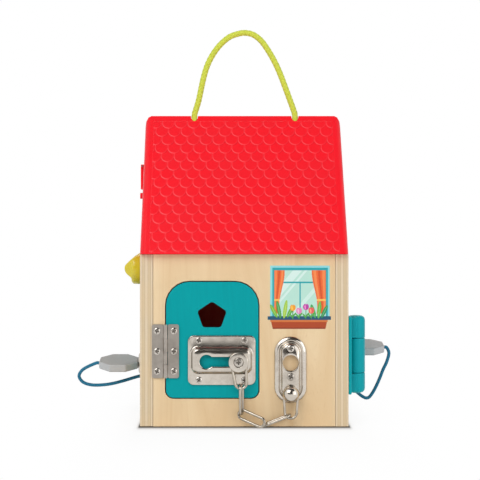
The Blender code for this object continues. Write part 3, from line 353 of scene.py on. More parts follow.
@dataclass(frozen=True)
class Plywood(Finish):
    """Clear-lacquered ply: upright veneer grain on both faces, the ends of its layers all round.

    Attributes:
        thin: the direction of the sheet's thickness.
        start: where the thickness starts along it, in metres.
        thickness: the sheet's thickness in metres.
        shift: where in the grain pattern this sheet was cut.
        glue_lines: where the glue lies in the thickness, as shares of it.
        glue_reach: how far each glue line fades to both sides.
    """

    thin: Axis
    start: float
    thickness: float
    shift: Point
    pale: Tint = tint(237, 212, 172)
    deep: Tint = tint(225, 194, 150)
    pore: Tint = tint(206, 168, 124)
    end_pale: Tint = tint(228, 210, 181)
    end_deep: Tint = tint(217, 196, 161)
    glue: Tint = tint(190, 167, 133)
    glue_lines: tuple[float, ...] = (0.165, 0.385, 0.615, 0.835)
    glue_reach: float = 0.025

    def layers(self) -> list[tuple[float, Tint]]:
        """Colour stops through the thickness: five layers, pale and deep in turn, with glue between them."""
        stops = [(0.0, self.end_pale)]
        before, after = self.end_pale, self.end_deep
        for line in self.glue_lines:
            stops += [(line - self.glue_reach, before), (line, self.glue), (line + self.glue_reach, after)]
            before, after = after, before
        return stops + [(1.0, self.end_pale)]

    def lay(self, surface: Surface) -> None:
        """Lay veneer and layer ends, told apart by which way the surface faces."""
        grain = surface.grain(0.055, self.shift)
        wear = surface.wear(0.35)
        veneer = surface.blend(surface.remap(grain["Figure"], 0.35, 0.68), self.pale, self.deep)
        veneer = surface.blend(surface.remap(grain["Streak"], 0.42, 0.75, 0.0, 0.35), veneer, self.deep)
        veneer = surface.tinge(veneer, grain["Pore"], 0.28, self.pore)
        place = surface.parts(surface.place)[self.thin.value]
        depth = surface.sums("DIVIDE", surface.minus(place, self.start), self.thickness)
        wobble = surface.times(surface.minus(surface.noise(surface.place, 60.0, 2.0), 0.5), 0.03)
        ends = surface.ramp(surface.plus(depth, wobble), self.layers())
        ends = surface.tinge(ends, surface.noise(surface.place, 700.0), 0.22, self.glue)
        wood = surface.blend(surface.faces(self.thin, 0.6), ends, veneer)
        wood = surface.tinge(wood, wear["Scuff"], 0.3, self.pore)
        wood = surface.blend(surface.remap(wear["Mottle"], 0.4, 0.7, 0.0, 0.25), wood, self.deep)
        surface.set(Base_Color=wood, Roughness=surface.patchy(wear, 0.42, 0.56), Specular_IOR_Level=0.35)
        surface.bump(grain["Height"], 0.08, 0.7)


@dataclass(frozen=True)
class FlatPaint(Finish):
    """Satin paint rolled on a door, the veneer showing faintly through, with painted shade on its edges all round.

    Attributes:
        thin: the direction of the door's thickness.
    """

    thin: Axis
    colour: Tint = tint(0, 160, 165)
    deep: Tint = tint(0, 147, 153)
    bare: Tint = tint(60, 190, 192)
    # Painted shade on the door's edges.
    edge: Tint = tint(0, 52, 56)

    def lay(self, surface: Surface) -> None:
        """Lay the paint and the painted shade on its edges."""
        grain = surface.grain(0.06, (0.3, 0.1, 0.2))
        wear = surface.wear(0.6)
        body = surface.blend(surface.remap(grain["Streak"], 0.35, 0.75, 0.0, 0.5), self.colour, self.deep)
        body = surface.tinge(body, wear["Scuff"], 0.25, self.bare)
        # Faces that look across the thin direction, the edges, get the painted shade.
        surface.set(Base_Color=surface.blend(surface.faces(self.thin, 0.5), self.edge, body),
                    Roughness=surface.patchy(wear, 0.36, 0.5), Specular_IOR_Level=0.1)
        surface.bump(surface.plus(grain["Height"], surface.times(wear["Skin"], 0.4)), 0.06, 0.7)


@dataclass(frozen=True)
class MouldedPlastic(Finish):
    """Semi-gloss moulded plastic; a piece's own rim and groove attributes lay painted highlights and painted shade on
    its relief.

    Attributes:
        colour: the plastic's colour.
        deep: the painted shade in grooves, and the mottle's darker tone.
        bright: the painted highlight along raised rims, and the colour of scuffs.
        roughness: the mean roughness.
        texture: the depth of the moulded skin in millimetres.
        gloss: the strength of the mirrored light.
        lit_through: whether the inner faces get a painted glow, emission that stands in for light coming through the
            plastic.
        banded: whether faces that stand upright are painted paler than level ones, painted light for sides that catch
            more light than the top.
        dust: the colour of settled dust.
        glow: the colour of the painted glow on the inner faces.
    """

    colour: Tint
    deep: Tint
    bright: Tint
    roughness: float
    texture: float = 0.03
    gloss: float = 0.25
    lit_through: bool = False
    banded: bool = False
    dust: Tint = tint(235, 228, 220)
    glow: Tint = (0.028, 0.0008, 0.0016, 1.0)

    def lay(self, surface: Surface) -> None:
        """Lay the plastic's colours, its painted shade and highlights, its moulded skin and a painted glow on the inner
        faces.
        """
        wear = surface.wear(0.5)
        body = surface.blend(surface.remap(wear["Mottle"], 0.35, 0.7, 0.0, 0.18), self.colour, self.deep)
        # Painted shade in grooves and painted highlights along rims, read from the piece's own attributes.
        body = surface.blend(surface.mark("groove"), body, self.deep)
        body = surface.blend(surface.mark("rim"), body, self.bright)
        # Painted light: upright faces paler than level ones.
        if self.banded:
            body = surface.blend(surface.faces(Axis.Z, 0.5, 1.0, 0.0), body, self.bright)
        body = surface.tinge(body, wear["Scuff"], 0.22, self.bright)
        body = surface.tinge(body, wear["Dust"], 0.10, self.dust)
        surface.set(Base_Color=body, Roughness=surface.patchy(wear, self.roughness - 0.05, self.roughness + 0.07),
                    Specular_IOR_Level=self.gloss)
        surface.bump(wear["Skin"], self.texture, 0.8)
        # Painted glow on the roof's inner faces: emission that stands in for light coming through the red plastic.
        if self.lit_through:
            glow = surface.blend(self.inside(surface), BLACK, self.glow)
            surface.set(Emission_Color=glow, Emission_Strength=1.0)

    @staticmethod
    def inside(surface: Surface) -> Socket:
        """Mask of the roof's inner faces.

        A point's depth below the sloping outer face is (peak - z) cos a - |y| sin a, and the inner faces lie
        more than the skin under it and between the gables.
        """
        x, y, z = surface.parts(surface.place)
        slope = math.atan2(ROOF_RISE, ROOF_HALF_SPAN)
        down = surface.times(surface.minus(ROOF_PEAK * MM, z), math.cos(slope))
        aside = surface.times(surface.size_of(y), math.sin(slope))
        under = surface.sums("GREATER_THAN", surface.minus(down, aside), ROOF_SKIN * MM)
        return surface.times(under, surface.sums("LESS_THAN", surface.size_of(x), GABLE_INSIDE * MM))


@dataclass(frozen=True)
class Metal(Finish):
    """Bare metal: brushed or polished, with smudges from fingers and painted shade in recesses.

    Attributes:
        colour: the metal's colour.
        smudge: the colour where it is dulled.
        smooth: the roughness where it is clean.
        dull: the roughness where it is dulled.
        brushed: how deep the brushing is, in millimetres, 0 for polished metal.
        stretch: the brushing's scale along each axis, small along its lines.
        recess: the painted shade where a piece is marked as a groove.
    """

    colour: Tint
    smudge: Tint
    smooth: float
    dull: float
    brushed: float = 0.0
    stretch: Point = (1.0, 1.0, 0.04)
    recess: Tint = tint(92, 85, 77)

    def lay(self, surface: Surface) -> None:
        """Lay the metal's shine, its smudges and its fine scratches."""
        lines = surface.effect(surface.effects.brushing, Place=surface.place, Stretch=self.stretch)
        wear = surface.wear(1.0)
        dulled = surface.remap(lines["Smudge"], 0.4, 0.7)
        streak = surface.times(lines["Line"], 0.35 if self.brushed else 0.06)
        shade = surface.sums("ADD", surface.times(dulled, 0.55), streak, clamp=True)
        rough = surface.plus(surface.times(dulled, 0.7), surface.times(wear["Scuff"], 0.6))
        body = surface.blend(shade, self.colour, self.smudge)
        # Painted shade in the grooves that a piece marks, such as a screw's cross recess and rim.
        surface.set(Base_Color=surface.tinge(body, surface.mark("groove"), 0.85, self.recess), Metallic=1.0,
                    Roughness=surface.remap(rough, 0.0, 1.0, self.smooth, self.dull))
        skin = lines["Line"] if self.brushed else wear["Skin"]
        surface.bump(surface.plus(skin, surface.times(wear["Scuff"], -0.5)), self.brushed or POLISH_DEPTH, 0.6)


@dataclass(frozen=True)
class CordFabric(Finish):
    """Plaited cord: matt fibres that run slantwise both ways, with painted shade in the creases between strands.

    Attributes:
        colour: the strands' colour.
        crease: the painted shade between strands, and the darker tone of the fuzz.
        bright: the colour of the fibres that catch the light.
        turns: crossings of the fine fibres around the cord.
        slant: crossings of the fine fibres for each unit of the map along the cord.
    """

    colour: Tint
    crease: Tint
    bright: Tint
    turns: float = 60.0
    slant: float = 300.0

    def lay(self, surface: Surface) -> None:
        """Lay the strands' colours and their fibres."""
        fibres = surface.effect(surface.effects.weave, Map=surface.map, Turns=self.turns, Slant=self.slant)
        fibre, fuzz = fibres["Fibre"], fibres["Fuzz"]
        # Painted shade in the creases that the piece marks as grooves.
        body = surface.tinge(self.colour, surface.mark("groove"), 0.65, self.crease)
        # Painted highlight on the fibres that catch the light.
        body = surface.blend(surface.remap(fibre, 0.7, 1.0, 0.0, 0.45), body, self.bright)
        body = surface.blend(surface.remap(fuzz, 0.35, 0.7, 0.0, 0.3), body, self.crease)
        surface.set(Base_Color=body, Roughness=surface.remap(fuzz, 0.3, 0.7, 0.7, 0.9),
                    Specular_IOR_Level=0.25, Sheen_Weight=0.15)
        surface.bump(surface.plus(fibre, fuzz), 0.15, 0.8)


@dataclass(frozen=True)
class PrintedInk(Finish):
    """Ink printed on a thin clear film over the wood; its colours are the piece's own colour attribute."""

    paper: Tint = tint(240, 225, 200)
    pore: Tint = tint(120, 110, 100)

    def lay(self, surface: Surface) -> None:
        """Lay the ink, the wood's pores showing faintly through."""
        grain = surface.grain(0.06)
        wear = surface.wear(0.4)
        ink = surface.tinge(surface.mark("ink", "Color"), wear["Scuff"], 0.25, self.paper)
        ink = surface.tinge(ink, grain["Pore"], 0.05, self.pore)
        surface.set(Base_Color=ink, Roughness=surface.patchy(wear, 0.3, 0.42))
        surface.bump(grain["Height"], 0.04, 0.5)


class Look(Enum):
    """A finish, and the record's material slot that it belongs to."""

    TEAL_PAINT = ("teal_paint", "teal_paint")
    SIDE_PAINT = ("side_teal_paint", "teal_paint")
    RED_ROOF = ("red_moulding", "red_shell")
    TEAL_MOULDING = ("teal_moulding", "teal_plastic")
    LIME_MOULDING = ("lime_moulding", "lime_plastic")
    ROPE = ("lime_plait", "lime_rope")
    KEY_CORD = ("blue_plait", "blue_cord")
    CORD_STOPPER = ("blue_moulding", "blue_cord")
    KEY = ("grey_moulding", "key_grey")
    STEEL = ("brushed_steel", "steel")
    SCREW = ("screw_steel", "steel")
    NICKEL = ("polished_nickel", "nickel")
    CHAIN = ("chain_nickel", "nickel")
    PRINT = ("window_ink", "plywood")


def toned(kind: type, *shades: tuple[int, int, int], **settings: object) -> object:
    """Make a finish from its colours of 0 to 255 steps a channel and its other settings."""
    return kind(*(tint(*shade) for shade in shades), **settings)


class Finishes:
    """Every finish of the house, made once."""

    def __init__(self) -> None:
        """Make the shared effects and the finishes."""
        self.effects = EffectGroups()
        makers = {
            Look.TEAL_PAINT: FlatPaint(Axis.Y),
            Look.SIDE_PAINT: FlatPaint(Axis.X, tint(0, 148, 157), tint(0, 136, 146), tint(24, 166, 172)),
            # The roof gets a painted glow on its inner faces.
            Look.RED_ROOF: toned(MouldedPlastic, (252, 22, 38), (216, 14, 32), (255, 98, 106), roughness=0.34,
                                 lit_through=True),
            Look.TEAL_MOULDING: toned(MouldedPlastic, (0, 164, 174), (0, 134, 146), (40, 190, 200),
                                      roughness=0.40, gloss=0.15),
            Look.LIME_MOULDING: toned(MouldedPlastic, (221, 205, 48), (182, 162, 12), (240, 231, 138),
                                      roughness=0.24, gloss=0.6),
            Look.ROPE: toned(CordFabric, (212, 222, 62), (170, 180, 26), (234, 240, 128)),
            Look.KEY_CORD: toned(CordFabric, (30, 120, 155), (10, 80, 114), (74, 158, 190), turns=30.0,
                                 slant=900.0),
            Look.CORD_STOPPER: toned(MouldedPlastic, (18, 92, 122), (8, 62, 90), (50, 132, 160),
                                     roughness=0.45),
            # The key's upright faces are painted paler than its top, painted light.
            Look.KEY: toned(MouldedPlastic, (160, 159, 157), (136, 135, 134), (194, 196, 197), roughness=0.48,
                            texture=0.06, banded=True),
            Look.STEEL: toned(Metal, (186, 178, 169), (150, 142, 133), smooth=0.30, dull=0.46, brushed=0.012),
            Look.SCREW: toned(Metal, (206, 199, 190), (158, 150, 140), smooth=0.22, dull=0.40),
            Look.NICKEL: toned(Metal, (214, 206, 195), (180, 170, 158), smooth=0.13, dull=0.30),
            # The chain's nickel is darker than the plates', painted shade standing in for the dark reflections along
            # its thin wires.
            Look.CHAIN: toned(Metal, (196, 187, 174), (150, 139, 124), smooth=0.12, dull=0.28),
            Look.PRINT: PrintedInk(),
        }
        self.made = {look: maker.material(look.value[0], self.effects) for look, maker in makers.items()}

    def plywood(self, node: str, thin: Axis) -> Material:
        """Make the ply finish of one sheet, its layers fitted to the sheet's own thickness."""
        low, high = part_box(node)
        shift = (sum(map(ord, node)) % 97 / 97, thin.value / 3, len(node) / 17)
        sheet = Plywood(thin, low[thin.value], high[thin.value] - low[thin.value], shift)
        return sheet.material(f"{node}_ply", self.effects)

    def give(self, obj: Object, look: Look | Material, body: str, replaced: tuple[str, ...] = ()) -> Object:
        """Dress a piece, put it on its body and hide the CAD nodes that it stands for.

        Args:
            obj: the finished piece.
            look: its finish, or a ply material of its own.
            body: the body that it rides on.
            replaced: the CAD nodes that it stands for.

        Returns:
            The same piece.
        """
        own = isinstance(look, Look)
        obj.data.materials.clear()
        obj.data.materials.append(self.made[look] if own else look)
        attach(obj, body)
        if replaced:
            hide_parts(*replaced)
        log.info("%s rides on %s, %d faces", obj.name, body, len(obj.data.polygons))
        return obj

    def keep(self, look: Look, *nodes: str) -> None:
        """Give CAD nodes that stay a finish in place of their own."""
        for name in nodes:
            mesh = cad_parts[name].data
            mesh.materials.clear()
            mesh.materials.append(self.made[look])
            log.info("%s keeps its shape", name)


# Shapes

def circle(count: int) -> np.ndarray:
    """Even angles round a full turn."""
    return np.linspace(0, FULL_TURN, count, endpoint=False)


def run_along(path: np.ndarray) -> np.ndarray:
    """Length walked along a path at each of its points."""
    return np.concatenate([[0], np.cumsum(np.linalg.norm(np.diff(path, axis=0), axis=1))])


def eased(share: np.ndarray) -> np.ndarray:
    """Smooth step from 0 to 1: 3s^2 - 2s^3."""
    return share * share * (3 - 2 * share)


def grid_faces(rows: int, columns: int, around: bool = False, closed: bool = False) -> np.ndarray:
    """List the quads of a grid of points numbered row by row.

    Args:
        rows: how many rows of points there are.
        columns: how many points a row has.
        around: whether each row's last point joins its first.
        closed: whether the last row joins the first.

    Returns:
        An array of four point numbers for each quad.
    """
    row = np.arange(rows if closed else rows - 1)[:, None]
    column = np.arange(columns if around else columns - 1)[None, :]
    beside = (column + 1) % columns
    below = (row + 1) % rows
    quads = [row * columns + column, row * columns + beside, below * columns + beside, below * columns + column]
    return np.stack(np.broadcast_arrays(*quads), axis=-1).reshape(-1, 4)


def mesh_piece(name: str, points: np.ndarray, faces: object, smooth: bool = True) -> Object:
    """Make an object of points in metres and faces, and link it to the scene."""
    mesh = bpy.data.meshes.new(name)
    mesh.from_pydata(points.reshape(-1, 3).tolist(), [], [list(face) for face in faces])
    mesh.polygons.foreach_set("use_smooth", np.full(len(mesh.polygons), smooth))
    mesh.update()
    obj = bpy.data.objects.new(name, mesh)
    bpy.context.scene.collection.objects.link(obj)
    return obj


def tagged(obj: Object, name: str, values: np.ndarray) -> None:
    """Give each point of a mesh a value under an attribute's name."""
    attribute = obj.data.attributes.new(name, "FLOAT", "POINT")
    attribute.data.foreach_set("value", values.reshape(-1).astype(np.float32))


@contextmanager
def reshaped(obj: Object) -> Iterator[bmesh.types.BMesh]:
    """Open an object's mesh for editing and write it back."""
    shape = bmesh.new()
    shape.from_mesh(obj.data)
    yield shape
    shape.to_mesh(obj.data)
    shape.free()


def closed_up(obj: Object) -> Object:
    """Merge a mesh's doubled points and turn its faces outwards."""
    with reshaped(obj) as shape:
        bmesh.ops.remove_doubles(shape, verts=shape.verts, dist=0.002 * MM)
        bmesh.ops.recalc_face_normals(shape, faces=shape.faces)
    return obj


def lathe(name: str, profile: list[Pair], centre: Point, axis: Point, sides: int) -> Object:
    """Turn a profile about an axis.

    The point at an angle a of a profile point (radius, height) is centre + axis * height
    + radius * (cos a * u + sin a * v), with u and v square to the axis. A profile that starts and ends on
    the axis gives a closed piece.

    Args:
        name: the piece's name.
        profile: (radius, height) in millimetres.
        centre: where height 0 lies, in metres.
        axis: the direction of the heights.
        sides: how many points go round.

    Returns:
        The new object.
    """
    along = Vector(axis).normalized()
    first = along.orthogonal().normalized()
    radius, height = (np.array(profile) * MM).T[..., None, None]
    angle = circle(sides)[:, None]
    ring = np.cos(angle) * np.array(first) + np.sin(angle) * np.array(along.cross(first))
    points = np.array(centre) + height * np.array(along) + radius * ring
    return closed_up(mesh_piece(name, points, grid_faces(len(profile), sides, around=True)))


def rounded_profile(corners: list[Pair], rounds: list[float], steps: int = 6
                    ) -> list[Pair]:
    """Round a profile's corners with a curve that leaves each corner by its own distance.

    Between a point at the distance before a corner and one after it, the curve is
    (1-t)^2 * before + 2t(1-t) * corner + t^2 * after.
    """
    result = [corners[0]]
    share = np.linspace(0, 1, steps)[:, None]
    for before, corner, after, size in zip(corners, corners[1:], corners[2:], rounds):
        here = np.array(corner)
        start, end = (here + (np.array(other) - here) / math.dist(other, here) * size
                      for other in (before, after))
        curve = (1 - share) ** 2 * start + 2 * share * (1 - share) * here + share ** 2 * end
        result.extend(map(tuple, curve))
    return result + [corners[-1]]


def tube(name: str, path: np.ndarray, radius: float, across: Point, relief: np.ndarray, closed: bool = False
         ) -> Object:
    """Carry a round section along a path.

    The section at a path point is p + (radius + relief) * (cos a * s + sin a * u), where s is the across
    direction made square to the path and u is the path's direction crossed with s.

    Args:
        name: the piece's name.
        path: the points of the centre line, in metres.
        radius: the section's radius in metres.
        across: a direction that the path never runs in.
        relief: how far each point is raised, in metres, a row for each path point and a column for each
            point that goes round.
        closed: whether the path's end joins its start.

    Returns:
        The new object, with a map whose first value goes round and whose second is the length in metres.
    """
    along = np.roll(path, -1, axis=0) - np.roll(path, 1, axis=0) if closed else np.gradient(path, axis=0)
    along /= np.linalg.norm(along, axis=1, keepdims=True)
    side = np.array(across) - (along @ np.array(across))[:, None] * along
    side /= np.linalg.norm(side, axis=1, keepdims=True)
    sides = relief.shape[1]
    angle = circle(sides)[None, :, None]
    ring = np.cos(angle) * side[:, None] + np.sin(angle) * np.cross(along, side)[:, None]
    points = (path[:, None] + (radius + relief)[..., None] * ring).reshape(-1, 3)
    faces = grid_faces(len(path), sides, around=True, closed=closed).tolist()
    length = run_along(path)
    row = np.repeat(length, sides)
    if not closed:
        last = len(path) * sides
        far = last - sides
        points = np.vstack([points, path[0], path[-1]])
        row = np.append(row, [length[0], length[-1]])
        turns = [(turn, (turn + 1) % sides) for turn in range(sides)]
        faces += [[last, after, turn] for turn, after in turns]
        faces += [[last + 1, far + turn, far + after] for turn, after in turns]
    obj = mesh_piece(name, points, faces)
    column = np.arange(len(points)) % sides / sides
    corners = np.empty(len(obj.data.loops), dtype=np.int32)
    obj.data.loops.foreach_get("vertex_index", corners)
    places = np.stack([column[corners], row[corners]], axis=-1)
    obj.data.uv_layers.new(name="UVMap").data.foreach_set("uv", places.reshape(-1).astype(np.float32))
    return obj


def plaited(name: str, path: np.ndarray, radius: float, strands: int, plait: float, sides: int, depth: float
            ) -> Object:
    """Carry a plaited section along a path that never runs from front to back.

    Strands wind both ways. With u = strands * a / 2 + s and v = strands * a / 2 - s in half turns, a
    strand of the first kind shows where floor(u) + floor(v) is even and one of the other kind elsewhere,
    and each is a half sine across its own width.

    Args:
        name: the piece's name.
        path: the centre line in metres.
        radius: the cord's radius in metres.
        strands: pairs of strands round the cord.
        plait: the length of one repeat in metres.
        sides: how many points go round.
        depth: how deep the creases are, as a share of the radius.

    Returns:
        The new object.
    """
    turns = strands * circle(sides)[None, :] / FULL_TURN
    repeats = run_along(path)[:, None] / plait * 2
    first, second = turns + repeats, turns - repeats
    even = (np.floor(first) + np.floor(second)) % 2 == 0
    across_strand = np.where(even, second % 1, first % 1)
    along_strand = np.where(even, first % 1, second % 1)
    bulge = np.sin(np.pi * across_strand) ** 0.6 * (0.7 + 0.3 * np.sin(np.pi * along_strand))
    obj = tube(name, path, radius, BACK, (bulge - 1) * depth * radius)
    # The creases between strands are marked as grooves, for the finish's painted shade.
    tagged(obj, "groove", np.append(1 - bulge.reshape(-1), [0.5, 0.5]))
    return obj


def route_through(places: list[Point], spacing: float) -> np.ndarray:
    """Lay a smooth route through places, with its points a given distance apart.

    Between two places a and b with neighbours p and n, the point at share t is
    0.5 * (2a + (b-p)t + (2p-5a+4b-n)t^2 + (3a-p-3b+n)t^3), walked finely and then spaced out evenly.
    """
    place = np.array(places)
    before = np.vstack([place[:1] * 2 - place[1:2], place, place[-1:] * 2 - place[-2:-1]])
    share = np.linspace(0, 1, 40, endpoint=False)[None, :, None]
    p, a, b, n = (before[step:len(before) - 3 + step, None] for step in range(4))
    walk = 0.5 * (2 * a + (b - p) * share + (2 * p - 5 * a + 4 * b - n) * share ** 2
                  + (3 * a - p - 3 * b + n) * share ** 3)
    walk = np.vstack([walk.reshape(-1, 3), place[-1]])
    length = run_along(walk)
    even = np.linspace(0, length[-1], max(2, round(length[-1] / spacing) + 1))
    return np.stack([np.interp(even, length, walk[:, axis]) for axis in range(3)], axis=-1)


def loop_path(first: Vector, first_bend: float, second: Vector, second_bend: float,
              across: Vector) -> np.ndarray:
    """Centre line of a bent-wire loop: a half circle at each end, joined by two sides.

    At a share t along a side its distance from the middle is the first bend + (second bend - first bend) *
    (3s^2 - 2s^3) with s = t^1.4, so it leaves both half circles without a kink.
    """
    start, end, side = np.array(first), np.array(second), np.array(across.normalized())
    along = (end - start) / np.linalg.norm(end - start)
    angle = np.linspace(0, math.pi, 20)[:, None]
    bow = np.cos(angle) * side - np.sin(angle) * along
    share = np.linspace(0, 1, 13)[1:-1, None]
    reach = first_bend + (second_bend - first_bend) * eased(share ** 1.4)
    middle = start + (end - start) * share
    return np.vstack([start + first_bend * bow, middle - reach * side, end - second_bend * bow,
                      (middle + reach * side)[::-1]])


def screw_head(name: str, centre: Point, radius: float, height: float, turn: float,
               recess: float = 0.68) -> Object:
    """Pan-headed screw with a cross recess, facing the front. Its radius and height are in millimetres.

    At (r, a) the head is height * (1 - 0.5 (r/R)^4) high and falls to its seat at the rim. Where
    min(|x|, |y|), x and y turned by the screw's own angle, is within the slot's half width, and r within the
    cross's reach, it drops by the recess depth, and a tapered pit lies in the middle. The recess and the rim
    are marked as grooves, for the finish's painted shade.
    """
    sides, rim = 72, 0.7
    share = np.concatenate([np.linspace(0, 0.94, 21), [0.96, 0.98, 0.995, 1.0, 1.0]])[:, None]
    level = 1 - 0.5 * share ** 4
    level[-1] = 0
    x, y = share * np.cos(circle(sides)), share * np.sin(circle(sides))
    arm = np.clip((0.19 - np.minimum(np.abs(x), np.abs(y))) / 0.05, 0, 1)
    cross = arm * np.clip((recess - share) / 0.06, 0, 1)
    pit = np.clip(1 - share / 0.3, 0, 1)
    heights = (level - 0.6 * cross - 0.2 * pit) * height * MM
    out = Vector(FORWARD)
    first = Matrix.Rotation(turn, 3, out) @ out.orthogonal().normalized()
    reach = (x * radius * MM, y * radius * MM, heights)
    points = sum(size[..., None] * np.array(axis) for size, axis in zip(reach, (first, out.cross(first), out)))
    points = np.vstack([(np.array(centre) + points).reshape(-1, 3), centre])
    last = (len(share) - 1) * sides
    faces = grid_faces(len(share), sides, around=True).tolist()
    faces += [[last + edge, len(points) - 1, last + (edge + 1) % sides] for edge in range(sides)]
    head = mesh_piece(name, points, faces)
    # Painted shade in the cross recess, the pit and along the rim as a dark outline.
    marked = np.maximum(np.maximum(cross, pit), rim * (share > 0.97))
    tagged(head, "groove", np.append(marked.reshape(-1), rim))
    return closed_up(head)


def softened(node: str, width: float, segments: int, angle: float) -> Object:
    """Copy a CAD node's mesh, merge its points and round its sharp edges.

    Args:
        node: the CAD node.
        width: how wide each rounding is, in millimetres.
        segments: how many faces a rounding has.
        angle: the least angle in degrees that counts as sharp.

    Returns:
        The new object.
    """
    obj = bpy.data.objects.new(f"{node}_dressed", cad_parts[node].data.copy())
    obj.data.materials.clear()
    bpy.context.scene.collection.objects.link(obj)
    with reshaped(obj) as shape:
        bmesh.ops.remove_doubles(shape, verts=shape.verts, dist=0.005 * MM)
        bmesh.ops.dissolve_limit(shape, angle_limit=math.radians(1.0), verts=shape.verts, edges=shape.edges)
    obj.data.polygons.foreach_set("use_smooth", np.full(len(obj.data.polygons), True))
    rounding = obj.modifiers.new("edge_rounding", "BEVEL")
    rounding.width = width * MM
    rounding.segments = segments
    rounding.limit_method = "ANGLE"
    rounding.angle_limit = math.radians(angle)
    rounding.use_clamp_overlap = True
    even = obj.modifiers.new("even_shading", "WEIGHTED_NORMAL")
    even.weight = 100
    even.keep_sharp = False
    return obj


@dataclass
class Assembly:
    """A part of the house that dresses its own pieces."""

    finishes: Finishes

    def dress(self, node: str, look: Look | Material, body: str, ease: float, segments: int = 2,
              angle: float = 35.0) -> None:
        """Put a CAD node's softened copy in its place, its edges eased by some millimetres."""
        self.finishes.give(softened(node, ease, segments, angle), look, body, (node,))

    def fasten(self, node: str, body: str, radius: float, height: float, turn: float) -> None:
        """Put a cross-headed screw where a CAD screw's head is."""
        low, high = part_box(node)
        centre = ((low.x + high.x) / 2, low.y + SCREW_SEAT * MM, (low.z + high.z) / 2)
        self.finishes.give(screw_head(f"{node}_head", centre, radius, height, turn), Look.SCREW, body, (node,))


# The body and the roof

@dataclass
class WoodenBody(Assembly):
    """The ply box: two side walls, front, back and floor, with eased edges, and the door's stop."""

    ease: float = 0.5
    sheets: dict[str, Axis] = field(default_factory=lambda: {
        "left_wall": Axis.X, "right_wall": Axis.X, "front_panel": Axis.Y, "back_panel": Axis.Y,
        "floor_panel": Axis.Z, "door_stop": Axis.Y})

    def build(self) -> None:
        """Ease every sheet's edges and dress it as ply."""
        for node, thin in self.sheets.items():
            self.dress(node, self.finishes.plywood(node, thin), "house", self.ease)


